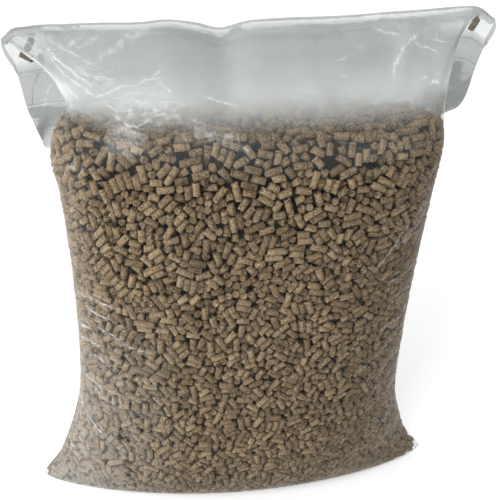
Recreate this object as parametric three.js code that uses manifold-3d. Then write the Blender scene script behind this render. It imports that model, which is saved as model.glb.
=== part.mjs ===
// A clear film bag filled with wood pellets, standing on its base.
// The film is a flat tube, sealed across the bottom with two pointed ears. The pellets fill it to the
// shoulder, and the empty top leans back, turns over at a soft fold and hangs behind as a flap, where
// two skewed seal lines close it above a loose lip. A few stray pellets are caught in the flap.
// Millimetres, +Z up, +X to the right seen from the front, +Y to the back.
import * as THREE from 'three';
import { mergeVertices } from 'three/addons/utils/BufferGeometryUtils.js';
import Module from 'manifold-3d';

// Film and clearances
const FILM = 0.15;
const CLEAR = 0.3;

// Width of the tube to the left and right of its middle
const EAR_LEFT = 213;
const EAR_RIGHT = 216;
const WAIST_LEFT = 164;
const WAIST_RIGHT = 165;
const SHOULDER_LEFT = 175;
const SHOULDER_RIGHT = 171;
const NECK_LEFT = 158;
const NECK_RIGHT = 169;
const FOLD_LEFT = 213;
const FOLD_RIGHT = 229;
const CUFF_LEFT = 200;
const CUFF_RIGHT = 222;
const LIP_LEFT = 187;
const LIP_RIGHT = 192;
const EAR_ROUNDING = 4;

// Half depth of the tube
const BASE_HALF_DEPTH = 37;
const EAR_HALF_DEPTH = 49;
const BELLY_HALF_DEPTH = 87;
const SHOULDER_HALF_DEPTH = 70;

// Heights above the floor, and how far the top leans back
const EAR_HEIGHT = 5;
const SHOULDER_HEIGHT = 420;
const FOLD_HEIGHT = 499;
const FOLD_SETBACK = 52;
const FOLD_TURN = 11;
const FLAP_LEAN = 15;

// The fold's line: it bows up to its ends, dips at a notch and drops at its left corner
const FOLD_LIFT = 2;
const FOLD_TILT = 5.3;
const FOLD_BOW = 8.2;
const NOTCH_DEPTH = 12;
const NOTCH_PLACE = -28;
const NOTCH_REACH = 18;
const HUMP_RISE = 2;
const HUMP_PLACE = -80;
const HUMP_REACH = 22;
const CORNER_DROP = 12;
const CORNER_REACH = 12;

// Lengths down the flap from the crest of the fold, at the middle of the bag
const SEAL_1_DROP = 57;
const SEAL_2_DROP = 89;
const CUFF_DROP = 127;
const LIP_DROP = 160;
const SEAL_1_SKEW = 9;
const SEAL_2_SKEW = 17;
const LIP_SKEW = 2;
const SEAL_BAND = 3;
const SEAL_BEAD = 1.1;
const SEALED_FILM = 0.5;
const LIP_OPEN = 3;

// Pellets
const PELLET_DIAMETER = 6;
const PELLET_SHORTEST = 9;
const PELLET_LONGEST = 22;
const POCKET_SLACK = 3.1;

// Heap of pellets, with free room between the middle of its top and the fold. The top is a low crown
// that tilts: it stands higher at the front of the bag and lower at the back.
const HEADROOM = 63;
const HEAP_CROWN = 6;
const HEAP_TILT = 15;
const HEAP_LUMPS = 2.6;
const SIDE_PELLETS = 132;
const CROWN_PELLETS = 24;
const STRAY_SEAT = 0.4;

// Needle vents in the front of the empty top
const VENT_DIAMETER = 1.5;
const VENT_PITCH = 44;
const VENT_COUNT = 6;
const VENT_DROP = 31;
const VENT_DRILL = 8;

// Mesh fineness
const FILM_STEPS = 24;
const CORE_STEPS = 20;
const PELLET_SIDES = 5;
const STRAY_SIDES = 10;

// Values worked out from the driving dimensions
const POCKET_HALF = (PELLET_DIAMETER + POCKET_SLACK) / 2 + FILM + CLEAR;
const SEAL_1_RUN = FOLD_HEIGHT + SEAL_1_DROP;
const SEAL_2_RUN = FOLD_HEIGHT + SEAL_2_DROP;
const LIP_RUN = FOLD_HEIGHT + LIP_DROP;
const HEADSPACE = FOLD_HEIGHT - SHOULDER_HEIGHT;
const VENT_RUN = FOLD_HEIGHT - VENT_DROP;
const HEAP_HEIGHT = FOLD_HEIGHT - HEADROOM;
const HEAP_SIDE = HEAP_HEIGHT - HEAP_CROWN;
const PELLET_INSET = FILM + CLEAR + 0.62 * PELLET_DIAMETER;
const CORE_INSET = FILM + CLEAR + 0.2 * PELLET_DIAMETER;
const LEAN = THREE.MathUtils.degToRad(FLAP_LEAN);

const mix = THREE.MathUtils.lerp;
const smooth = THREE.MathUtils.smoothstep;

// One section of the tube: run along its middle, where the middle lies (back, up), how far the
// section is tipped over, its sizes, and how square it is across and through (1 is an ellipse).
function section(run, back, up, tip, left, right, half, across, through, skew = 0) {
  return { run, back, up, tip, left, right, half, across, through, skew };
}

// A section of the upright part, at a share of the way up to the shoulder
function upright(share, toEar, toBase, across, through) {
  const up = share * SHOULDER_HEIGHT;
  const left = mix(WAIST_LEFT, EAR_LEFT, toEar);
  const right = mix(WAIST_RIGHT, EAR_RIGHT, toEar);
  const half = mix(BELLY_HALF_DEPTH, BASE_HALF_DEPTH, toBase);
  return section(up, 0, up, 0, left, right, half, across, through);
}

// A section of the upper body, between the waist and the shoulder
function upper(share, toShoulder, across, through) {
  const up = share * SHOULDER_HEIGHT;
  const left = mix(WAIST_LEFT, SHOULDER_LEFT, toShoulder);
  const right = mix(WAIST_RIGHT, SHOULDER_RIGHT, toShoulder);
  const half = mix(BELLY_HALF_DEPTH, SHOULDER_HALF_DEPTH, toShoulder);
  return section(up, 0, up, 0, left, right, half, across, through);
}

// A section of the empty top, at a share of the way from the shoulder up to the fold
function top(share, lean, tip, left, right, half, across, through) {
  const up = SHOULDER_HEIGHT + share * HEADSPACE;
  return section(up, lean * FOLD_SETBACK, up, tip, left, right, half, across, through);
}

// A section of the flap behind the fold, at a length down from the crest
function flap(drop, left, right, half, skew) {
  const back = FOLD_SETBACK + 0.9 * FOLD_TURN + (drop - FOLD_TURN) * Math.sin(LEAN);
  const up = FOLD_HEIGHT + 1.25 * FOLD_TURN - drop * Math.cos(LEAN);
  return section(FOLD_HEIGHT + drop, back, up, 180 - FLAP_LEAN, left, right, half, 0.3, 0.15, skew);
}

// A section of the flap between the fold and the cuff, at a share of the way to the cuff's width
function pocket(drop, toCuff, half, skew) {
  return flap(drop, mix(FOLD_LEFT, CUFF_LEFT, toCuff), mix(FOLD_RIGHT, CUFF_RIGHT, toCuff), half, skew);
}

const SECTIONS = [
  section(0, 0, 0, 0, EAR_LEFT - EAR_ROUNDING, EAR_RIGHT - EAR_ROUNDING, BASE_HALF_DEPTH, 1, 1.5),
  section(EAR_HEIGHT, 0, EAR_HEIGHT, 0, EAR_LEFT, EAR_RIGHT, EAR_HALF_DEPTH, 1, 1.4),
  upright(0.07, 0.65, 0.42, 1, 1.12),
  upright(0.167, 0.34, 0.18, 0.92, 1),
  upright(0.286, 0.09, 0.04, 0.85, 0.9),
  upright(0.476, 0, 0, 0.8, 0.85),
  upper(0.714, 0.15, 0.8, 0.82),
  upper(0.905, 0.6, 0.75, 0.75),
  top(0, 0.02, 0, SHOULDER_LEFT, SHOULDER_RIGHT, SHOULDER_HALF_DEPTH, 0.7, 0.7),
  top(0.38, 0.16, 0, NECK_LEFT, NECK_RIGHT, 0.81 * SHOULDER_HALF_DEPTH, 0.65, 0.7),
  top(0.66, 0.46, 0, mix(NECK_LEFT, FOLD_LEFT, 0.22), mix(NECK_RIGHT, FOLD_RIGHT, 0.15),
    0.53 * SHOULDER_HALF_DEPTH, 0.6, 0.75),
  top(0.89, 0.77, 8, mix(NECK_LEFT, FOLD_LEFT, 0.71), mix(NECK_RIGHT, FOLD_RIGHT, 0.38),
    0.23 * SHOULDER_HALF_DEPTH, 0.7, 0.9),
  top(1, 1, 70, mix(NECK_LEFT, FOLD_LEFT, 0.93), mix(NECK_RIGHT, FOLD_RIGHT, 0.7), POCKET_HALF, 0.5, 0.6),
  section(FOLD_HEIGHT + FOLD_TURN, FOLD_SETBACK + FOLD_TURN, FOLD_HEIGHT - 0.36 * FOLD_TURN, 150,
    FOLD_LEFT, FOLD_RIGHT, POCKET_HALF, 0.3, 0.15, -LIP_SKEW),
  pocket(0.86 * SEAL_1_DROP, 0.2, POCKET_HALF, -SEAL_1_SKEW),
  pocket(SEAL_1_DROP, 0.3, SEALED_FILM / 2, -SEAL_1_SKEW),
  pocket(SEAL_2_DROP, 0.6, SEALED_FILM / 2, -SEAL_2_SKEW),
  pocket(CUFF_DROP, 1, LIP_OPEN / 3, -LIP_SKEW),
  flap(LIP_DROP, LIP_LEFT, LIP_RIGHT, LIP_OPEN / 2, 0),
];

const KEYS = ['back', 'up', 'tip', 'left', 'right', 'half', 'across', 'through', 'skew'];

// The rate at which a value changes at one of the sections
function slope(index, key) {
  const before = SECTIONS[Math.max(index - 1, 0)];
  const after = SECTIONS[Math.min(index + 1, SECTIONS.length - 1)];
  return (after[key] - before[key]) / (after.run - before.run);
}

// The section at any run, on a smooth curve through the sections above
function sectionAt(run) {
  let index = SECTIONS.findIndex((entry) => entry.run > run) - 1;
  if (index < 0) index = SECTIONS.length - 2;
  const low = SECTIONS[index];
  const high = SECTIONS[index + 1];
  const span = high.run - low.run;
  const t = (run - low.run) / span;
  const out = { run };
  for (const key of KEYS) {
    const rise = 3 * t * t - 2 * t * t * t;
    const leave = t * (1 - t) * (1 - t) * span * slope(index, key);
    const arrive = t * t * (1 - t) * span * slope(index + 1, key);
    out[key] = low[key] + (high[key] - low[key]) * rise + leave - arrive;
  }
  return out;
}

// The fold isn't level: how much it rises at a distance to the right of the middle
function foldRise(x) {
  const bump = (centre, reach, height) => height * Math.exp(-(((x - centre) / reach) ** 2));
  const bow = FOLD_LIFT + FOLD_TILT * (x / FOLD_LEFT) + FOLD_BOW * (x / FOLD_LEFT) ** 2;
  return bow + bump(-FOLD_LEFT, CORNER_REACH, -CORNER_DROP) + bump(NOTCH_PLACE, NOTCH_REACH, -NOTCH_DEPTH)
    + bump(HUMP_PLACE, HUMP_REACH, HUMP_RISE);
}

// Folds pressed into the empty top of the film. Their ends are shares of the fold's half width to the
// right and of the way up from the shoulder to the fold.
const CREASES = [
  { from: [-0.87, 0.99], to: [-0.53, 0.71], reach: 9, depth: 4 },
  { from: [-0.81, 0.86], to: [-0.74, 0.35], reach: 8, depth: -4 },
  { from: [-0.84, 0.95], to: [-0.42, 0.61], reach: 7, depth: -4 },
  { from: [-0.61, 0.68], to: [-0.33, 0.44], reach: 9, depth: 5 },
  { from: [-0.59, 0.56], to: [-0.38, 0.38], reach: 7, depth: -5 },
  { from: [-0.25, 0.48], to: [-0.01, 0.14], reach: 12, depth: -4 },
  { from: [-0.13, 1], to: [-0.09, 0.63], reach: 12, depth: 4 },
  { from: [0.19, 0.89], to: [0.29, 0.44], reach: 10, depth: -3 },
  { from: [0.49, 0.94], to: [0.62, 0.81], reach: 8, depth: 4 },
  { from: [0.66, 0.91], to: [0.56, 0.63], reach: 7, depth: -4 },
  { from: [0.76, 0.81], to: [0.7, 0.44], reach: 8, depth: 4 },
];

// How far the creases push the front of the film inwards at a point
function creaseDepth(x, run) {
  const place = ([across, up]) => [across * FOLD_LEFT, SHOULDER_HEIGHT + up * HEADSPACE];
  let depth = 0;
  for (const crease of CREASES) {
    const from = place(crease.from);
    const to = place(crease.to);
    const along = [to[0] - from[0], to[1] - from[1]];
    const share = ((x - from[0]) * along[0] + (run - from[1]) * along[1]) / Math.hypot(...along) ** 2;
    const t = THREE.MathUtils.clamp(share, 0, 1);
    const away = Math.hypot(x - from[0] - t * along[0], run - from[1] - t * along[1]);
    depth += crease.depth * Math.sin(Math.PI * mix(0.15, 0.85, t)) * Math.exp(-((away / crease.reach) ** 2));
  }
  return depth;
}

// The extra half thickness of the two welded seal lines
function seamRise(run) {
  const onSeal = [SEAL_1_RUN, SEAL_2_RUN].some((seal) => Math.abs(run - seal) < 0.3 * SEAL_BAND);
  return onSeal ? (SEAL_BEAD - SEALED_FILM) / 2 : 0;
}

// A point on the tube: across runs from -1 at the left edge to 1 at the right one, side is -1 on the
// front and 1 on the back, and inset moves the point into the tube.
function tubePoint(run, across, side, inset) {
  const here = sectionAt(run);
  const reach = (across < 0 ? here.left : here.right) - inset;
  const x = reach * across;
  const fullness = (1 - Math.abs(across) ** (2 / here.across)) ** (here.through / 2);
  const carrier = sectionAt(run + here.skew * (x / FOLD_LEFT));
  const tip = THREE.MathUtils.degToRad(carrier.tip);
  const lift = foldRise(x) * smooth(carrier.run, SHOULDER_HEIGHT + 0.25 * HEADSPACE, FOLD_HEIGHT);
  let depth = side * (Math.max(here.half, SEALED_FILM / 2) + seamRise(run) - inset) * fullness;
  if (side < 0) depth += creaseDepth(x, carrier.run) * Math.min(1, 3 * fullness * (1 - across * across));
  const up = carrier.up - depth * Math.sin(tip) + lift;
  return new THREE.Vector3(x, carrier.back + depth * Math.cos(tip), up);
}

// The closed ring of points of one section, from the right edge over the front and round the back
function ring(run, inset, steps = FILM_STEPS) {
  const across = Array.from({ length: steps }, (unused, i) => Math.cos((Math.PI * i) / steps));
  return [
    ...across.map((share) => tubePoint(run, share, -1, inset)),
    ...across.map((share) => tubePoint(run, -share, 1, inset)),
  ];
}

// Triangles that close a ring: a strip from edge to edge between its front and its back
function capFaces(offset, count, flip) {
  const faces = [];
  for (let i = 0; i < count / 2; i += 1) {
    const [front, next] = [offset + i, offset + i + 1];
    const [back, after] = [offset + ((count - i) % count), offset + count - i - 1];
    if (i > 0) faces.push([front, after, back]);
    if (next !== after) faces.push([front, next, after]);
  }
  return flip ? faces.map(([a, b, c]) => [a, c, b]) : faces;
}

// A closed loft through rings of points
function loft(rings) {
  const faces = [];
  const count = rings[0].length;
  const positions = rings.flat().flatMap((point) => point.toArray());
  for (let row = 0; row + 1 < rings.length; row += 1) {
    for (let i = 0; i < count; i += 1) {
      const a = row * count + i;
      const b = row * count + ((i + 1) % count);
      faces.push([a, a + count, b], [b, a + count, b + count]);
    }
  }
  faces.push(...capFaces(0, count, false));
  faces.push(...capFaces((rings.length - 1) * count, count, true));
  const geometry = new THREE.BufferGeometry();
  geometry.setAttribute('position', new THREE.Float32BufferAttribute(positions, 3));
  geometry.setIndex(faces.flat());
  return geometry;
}

const wasm = await Module();
wasm.setup();

// A three.js geometry as a solid that can be joined and cut
function solid(geometry) {
  const bare = geometry.clone();
  bare.deleteAttribute('normal');
  bare.deleteAttribute('uv');
  const merged = mergeVertices(bare, 1e-4);
  return new wasm.Manifold(new wasm.Mesh({
    numProp: 3,
    vertProperties: new Float32Array(merged.attributes.position.array),
    triVerts: new Uint32Array(merged.index.array),
  }));
}

// A joined or cut solid as a three.js geometry
function geometryOf(body) {
  const mesh = body.getMesh();
  const geometry = new THREE.BufferGeometry();
  geometry.setAttribute('position', new THREE.BufferAttribute(new Float32Array(mesh.vertProperties), 3));
  geometry.setIndex(new THREE.BufferAttribute(new Uint32Array(mesh.triVerts), 1));
  geometry.computeVertexNormals();
  return geometry;
}

// The runs at which the tube has a ring of points
const BODY_RUNS = [0.04, 0.1, 0.18, 0.28, 0.45, 0.66, 0.83, 0.94].map((t) => t * SHOULDER_HEIGHT);
const TOP_RUNS = [0, 0.2, 0.37, 0.5, 0.62, 0.73, 0.83, 0.92].map((t) => SHOULDER_HEIGHT + t * HEADSPACE);
const FOLD_RUNS = [0, 0.3, 0.65, 1, 1.9].map((t) => FOLD_HEIGHT + t * FOLD_TURN);
const POCKET_END = SEAL_1_RUN - SEAL_BAND;
const TUBE_RUNS = [EAR_HEIGHT, ...BODY_RUNS, ...TOP_RUNS, ...FOLD_RUNS,
  mix(FOLD_HEIGHT, SEAL_1_RUN, 0.65), mix(FOLD_HEIGHT, SEAL_1_RUN, 0.86), POCKET_END];
const SEAL_ROWS = [-0.5, 0, 0.5].map((t) => t * SEAL_BAND);
const SEAL_RUNS = [SEAL_1_RUN, SEAL_2_RUN].flatMap((seal) => SEAL_ROWS.map((row) => seal + row));
const CORE_ROWS = [
  0.012, 0.05, 0.1, 0.16, 0.22, 0.29, 0.36, 0.43, 0.5, 0.57, 0.64, 0.71, 0.78, 0.85, 0.92, 1,
];
const MOUTH_RUNS = [0.25, 0.54, 1].map((t) => mix(SEAL_2_RUN, LIP_RUN, t));

// The film: the outside of the tube less the space in it, the open mouth and the vents
function filmBody() {
  const runs = [0, ...TUBE_RUNS, ...SEAL_RUNS, ...MOUTH_RUNS];
  const outside = solid(loft(runs.map((run) => ring(run, 0))));
  const inside = solid(loft([FILM, ...TUBE_RUNS].map((run) => ring(run, FILM))));
  const mouth = MOUTH_RUNS.map((run) => ring(run, FILM));
  const outward = new THREE.Vector3(0, Math.sin(LEAN), -Math.cos(LEAN));
  mouth.push(mouth.at(-1).map((point) => point.clone().add(outward)));
  let body = outside.subtract(inside).subtract(solid(loft(mouth)));
  for (let i = 0; i < VENT_COUNT; i += 1) {
    const x = (i - (VENT_COUNT - 1) / 2) * VENT_PITCH;
    const here = tubePoint(VENT_RUN, x / sectionAt(VENT_RUN).right, -1, 0);
    const drill = new THREE.CylinderGeometry(VENT_DIAMETER / 2, VENT_DIAMETER / 2, VENT_DRILL, 6);
    drill.translate(here.x, here.y, here.z);
    body = body.subtract(solid(drill));
  }
  return body;
}

// A stream of repeatable random numbers from 0 to 1
function randomStream(seed) {
  let state = seed;
  return () => {
    state = (state * 1664525 + 1013904223) % 4294967296;
    return state / 4294967296;
  };
}

// A pellet of a length at a place, lying along a direction
function pellet(place, along, length, sides) {
  const outline = new THREE.Shape();
  for (let i = 0; i < sides; i += 1) {
    const angle = (2 * Math.PI * i) / sides;
    const corner = [Math.cos(angle) * PELLET_DIAMETER / 2, Math.sin(angle) * PELLET_DIAMETER / 2];
    if (i === 0) outline.moveTo(...corner);
    else outline.lineTo(...corner);
  }
  const shape = new THREE.ExtrudeGeometry(outline, { depth: length, bevelEnabled: false });
  shape.translate(0, 0, -length / 2);
  const upright = new THREE.Vector3(0, 0, 1);
  shape.applyQuaternion(new THREE.Quaternion().setFromUnitVectors(upright, along.clone().normalize()));
  shape.translate(place.x, place.y, place.z);
  return shape;
}

// A ring round the side of the heap, at a share of the way up to its tilted rim
function heapRing(share, inset, steps) {
  const points = [];
  for (const side of [-1, 1]) {
    for (let i = 0; i < steps; i += 1) {
      const turn = (Math.PI * i) / steps;
      const rim = HEAP_SIDE - side * HEAP_TILT * Math.sin(turn);
      points.push(tubePoint(share * rim, -side * Math.cos(turn), side, inset));
    }
  }
  return points;
}

// A ring of the heap's crown, at a share of the way out from the middle to the rim
function crownRing(share) {
  const level = 1 - Math.sqrt(1 - share * share);
  return heapRing(1, CORE_INSET + HEAP_LUMPS / 2, CORE_STEPS).map(
    ({ x, y, z }) => new THREE.Vector3(x * share, y * share, mix(HEAP_HEIGHT, z, level)),
  );
}

// A place on the side of the heap at a share of the way round and up, with the directions along it
function heapSide(round, up, inset) {
  const points = heapRing(up, inset, FILM_STEPS);
  const lengths = points.map((point, i) => point.distanceTo(points[(i + 1) % points.length]));
  let left = round * lengths.reduce((sum, length) => sum + length, 0);
  let index = 0;
  while (left > lengths[index] && index < points.length - 1) {
    left -= lengths[index];
    index += 1;
  }
  const next = points[(index + 1) % points.length];
  const place = points[index].clone().lerp(next, left / lengths[index]);
  const across = next.clone().sub(points[index]).normalize();
  const above = heapRing(up + PELLET_DIAMETER / HEAP_SIDE, inset, FILM_STEPS)[index];
  const upward = above.sub(points[index]).normalize();
  return { place, across, upward };
}

// The heap: a lumpy core with pellets standing out of its sides and crown, all inside the film
function heapBody() {
  const random = randomStream(11);
  const lumpy = (share) => heapRing(share, CORE_INSET, CORE_STEPS).map((point) => {
    const middle = new THREE.Vector3(0, 0, point.z);
    return point.lerp(middle, (HEAP_LUMPS * random()) / point.distanceTo(middle));
  });
  const rings = [ring(FILM + CLEAR, CORE_INSET, CORE_STEPS), ...CORE_ROWS.map(lumpy)];
  rings.push(...[0.88, 0.65, 0.35, 0.08].map(crownRing));
  let body = solid(loft(rings));
  const pellets = [];
  for (let i = 1; i <= SIDE_PELLETS; i += 1) {
    const up = mix(1.7 * PELLET_DIAMETER, HEAP_SIDE - 0.7 * PELLET_DIAMETER, (i * 0.5698403) % 1) / HEAP_SIDE;
    const { place, across, upward } = heapSide((i * 0.7548777) % 1, up, PELLET_INSET);
    const turn = random() * Math.PI;
    const along = across.multiplyScalar(Math.cos(turn)).addScaledVector(upward, Math.sin(turn));
    pellets.push(pellet(place, along, mix(PELLET_SHORTEST, PELLET_LONGEST, random()), PELLET_SIDES));
  }
  for (let i = 1; i <= CROWN_PELLETS; i += 1) {
    const share = 0.9 * Math.sqrt((i * 0.5698403) % 1);
    const index = Math.floor(((i * 0.7548777) % 1) * 2 * CORE_STEPS);
    const place = crownRing(share)[index];
    place.z += 0.1 * PELLET_DIAMETER;
    const turn = random() * 2 * Math.PI;
    const along = new THREE.Vector3(Math.cos(turn), Math.sin(turn), 0.5 * (random() - 0.5));
    pellets.push(pellet(place, along, mix(PELLET_SHORTEST, PELLET_LONGEST, random()), PELLET_SIDES));
  }
  body = wasm.Manifold.union([body, ...pellets.map(solid)]);
  const room = solid(loft([FILM + CLEAR, ...TUBE_RUNS].map((run) => ring(run, FILM + CLEAR))));
  return body.intersect(room);
}

// Stray pellets caught in the flap: distance to the right, drop below the fold, turn, length
const STRAYS = [
  { x: 23 - FOLD_LEFT, drop: 27, turn: 65, long: 12 },
  { x: 19 - FOLD_LEFT, drop: 39.5, turn: -35, long: 12, seat: 0.55 },
  { x: 32 - FOLD_LEFT, drop: 44, turn: 80, long: 7 },
  { x: FOLD_RIGHT - 17, drop: 35, turn: 75, long: 13, seat: 0.5 },
  { x: -64, drop: 14, turn: -14, long: 11, seat: 0.8 },
  { x: 68, drop: 37, turn: 20, long: 13 },
  { x: 85, drop: 34, turn: -50, long: 11 },
];

// A stray pellet resting against the outer sheet of the flap
function strayShape({ x, drop, turn, long, seat = STRAY_SEAT }) {
  const run = FOLD_HEIGHT + drop;
  const here = sectionAt(run);
  const across = x / (x < 0 ? here.left : here.right);
  const outer = tubePoint(run, across, -1, 0);
  const inner = tubePoint(run, across, 1, 0);
  const inward = inner.sub(outer).normalize();
  const place = outer.addScaledVector(inward, FILM + CLEAR + seat + PELLET_DIAMETER / 2);
  const sideways = new THREE.Vector3(1, 0, 0);
  sideways.addScaledVector(inward, -sideways.dot(inward)).normalize();
  const angle = THREE.MathUtils.degToRad(turn);
  const along = sideways.clone().applyAxisAngle(inward, angle);
  return pellet(place, along, long, STRAY_SIDES);
}

const group = new THREE.Group();

// Adds one named piece to the model
function add(name, geometry, color, roughness) {
  const mesh = new THREE.Mesh(geometry, new THREE.MeshStandardMaterial({ color, roughness, metalness: 0 }));
  mesh.name = name;
  group.add(mesh);
}

add('bag_film', geometryOf(filmBody()), 0xdde3e6, 0.15);
add('pellet_heap', geometryOf(heapBody()), 0x86765f, 0.9);
STRAYS.forEach((stray, i) => add(`stray_pellet_${i + 1}`, strayShape(stray), 0x86765f, 0.9));

// The origin is on the floor, under the middle of the whole bag
const box = new THREE.Box3().setFromObject(group);
group.position.set(-(box.min.x + box.max.x) / 2, -(box.min.y + box.max.y) / 2, -box.min.z);

export default group;
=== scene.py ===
"""Looks of a clear film bag that is filled with wood pellets and stands on its base.

The bag's form is a lofted tube of film. Its sizes are in millimetres, in the bag's own axes, and
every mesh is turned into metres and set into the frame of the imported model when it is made.
"""

import itertools
import logging
import math
from dataclasses import dataclass, field
from enum import Enum
from typing import Dict, List, Optional, Tuple

import bpy
import numpy as np
from mathutils import Matrix, Vector, kdtree


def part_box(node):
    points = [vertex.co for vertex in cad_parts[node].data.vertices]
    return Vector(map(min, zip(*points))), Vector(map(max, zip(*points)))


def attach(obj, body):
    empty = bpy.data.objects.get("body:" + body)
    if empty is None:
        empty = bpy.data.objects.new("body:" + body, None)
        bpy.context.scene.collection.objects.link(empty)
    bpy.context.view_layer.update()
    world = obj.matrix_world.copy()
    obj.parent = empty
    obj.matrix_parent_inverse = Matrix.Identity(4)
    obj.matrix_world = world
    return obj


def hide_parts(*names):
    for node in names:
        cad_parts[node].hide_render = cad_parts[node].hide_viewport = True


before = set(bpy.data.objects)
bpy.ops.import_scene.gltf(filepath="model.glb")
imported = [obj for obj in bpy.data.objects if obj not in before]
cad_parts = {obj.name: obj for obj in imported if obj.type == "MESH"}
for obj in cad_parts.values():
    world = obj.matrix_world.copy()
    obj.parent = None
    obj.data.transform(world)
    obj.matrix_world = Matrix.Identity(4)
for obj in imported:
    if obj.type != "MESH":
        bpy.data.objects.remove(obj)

LOG = logging.getLogger("pellet_bag")
MM = 0.001
PHOTO_WIDTH = 500
FAR = 99.0  # millimetres: farther than any distance that is compared
Color = Tuple[float, float, float, float]
Span = Tuple[float, float]
WHITE: Color = (1.0, 1.0, 1.0, 1.0)


class Side(Enum):
    """The two sheets of the flattened tube."""

    FRONT = -1
    BACK = 1


def smoothstep(value: np.ndarray, low: float, high: float) -> np.ndarray:
    """Returns 0 below low, 1 above high and a smooth rise between."""
    share = np.clip((value - low) / (high - low), 0.0, 1.0)
    return share * share * (3.0 - 2.0 * share)


@dataclass(frozen=True)
class Wave:
    """A ripple over a surface.

    Attributes:
        height: How far it rises and falls, in millimetres.
        across: Millimetres to the right for each radian of it.
        along: The same in the surface's other direction.
        start: Its phase in radians.
    """

    height: float
    across: float
    along: float = math.inf
    start: float = 0.0

    def rise(self, x: np.ndarray, y: np.ndarray, shift: float) -> np.ndarray:
        """Returns how far it lifts the surface at the given places, with its phase shifted."""
        return self.height * np.sin(x / self.across + y / self.along + (self.start + shift))


def ripple(waves: Tuple[Wave, ...], x: np.ndarray, y: np.ndarray, shift: float = 0.0) -> np.ndarray:
    """Returns how far several waves together lift a surface."""
    return sum(wave.rise(x, y, shift) for wave in waves)


@dataclass(frozen=True)
class Crease:
    """A fold pressed into the film, along a line on the sheet.

    Attributes:
        start: Distance to the right and run of one end, in millimetres.
        end: The same for the other end.
        reach: How far from its line the fold fades, in millimetres.
        depth: How far it pushes the film in, or out where it is negative.
    """

    start: Tuple[float, float]
    end: Tuple[float, float]
    reach: float
    depth: float

    def press(self, x: np.ndarray, run: np.ndarray) -> np.ndarray:
        """Works out how far the fold pushes the film in.

        Args:
            x: Distance to the right of each place.
            run: Run of each place.

        Returns:
            The depth at each place, in millimetres.
        """
        along = np.subtract(self.end, self.start)
        span = float(np.hypot(*along))
        share = ((x - self.start[0]) * along[0] + (run - self.start[1]) * along[1]) / span**2
        share = np.clip(share, 0.0, 1.0)
        away_x = x - self.start[0] - share * along[0]
        away_run = run - self.start[1] - share * along[1]
        fade = np.exp(-(away_x**2 + away_run**2) / self.reach**2)
        return self.depth * np.sin(math.pi * (0.15 + 0.7 * share)) * fade


@dataclass(frozen=True)
class Streak:
    """A narrow crease in the front sheet, which shows as a line.

    Attributes:
        places: Distance to the right and run of its corners, in millimetres.
        milk: How white it is, from 0 to 1: the film's whitening in the crease with a painted glint along
            it.
        shade: How dark it is, from 0 to 1, as painted shade in the crease.
        width: Half its width in millimetres.
    """

    places: Tuple[Tuple[float, float], ...]
    milk: float = 0.8
    shade: float = 0.0
    width: float = 1.0

    def measure(self, x: np.ndarray, run: np.ndarray) -> Tuple[np.ndarray, np.ndarray]:
        """Finds how far places on the sheet are from the line.

        Args:
            x: Distance to the right of each place.
            run: Run of each place.

        Returns:
            The distance, negative on the one side of the line, and the line's strength there, which
            ends a little past its ends.
        """
        nearest = np.full(len(x), FAR)
        strength = np.zeros(len(x))
        last = len(self.places) - 2
        for number, (start, end) in enumerate(zip(self.places, self.places[1:])):
            along = np.subtract(end, start)
            span = float(np.hypot(*along))
            share = ((x - start[0]) * along[0] + (run - start[1]) * along[1]) / span**2
            inside = np.clip(share, 0.0, 1.0)
            away_x = x - start[0] - inside * along[0]
            away_run = run - start[1] - inside * along[1]
            away = np.hypot(away_x, away_run)
            before = -share * span if number == 0 else np.full(len(x), -FAR)
            beyond = (share - 1) * span if number == last else np.full(len(x), -FAR)
            closer = away < np.abs(nearest)
            sign = np.where(along[0] * away_run - along[1] * away_x < 0, -1.0, 1.0)
            nearest = np.where(closer, sign * away, nearest)
            full = 1 - smoothstep(np.maximum(before, beyond), -4.0, 2.5)
            strength = np.where(closer, full, strength)
        return nearest, strength * (np.abs(nearest) < max(8.0, 1.3 * self.width))

    def clearance(self, other: "Streak") -> float:
        """Returns how near another streak comes to this one, at its corners and half-way between."""
        spots = np.array(other.places, float)
        spots = np.concatenate([spots, (spots[1:] + spots[:-1]) / 2])
        return float(np.abs(self.measure(spots[:, 0], spots[:, 1])[0]).min())


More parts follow.
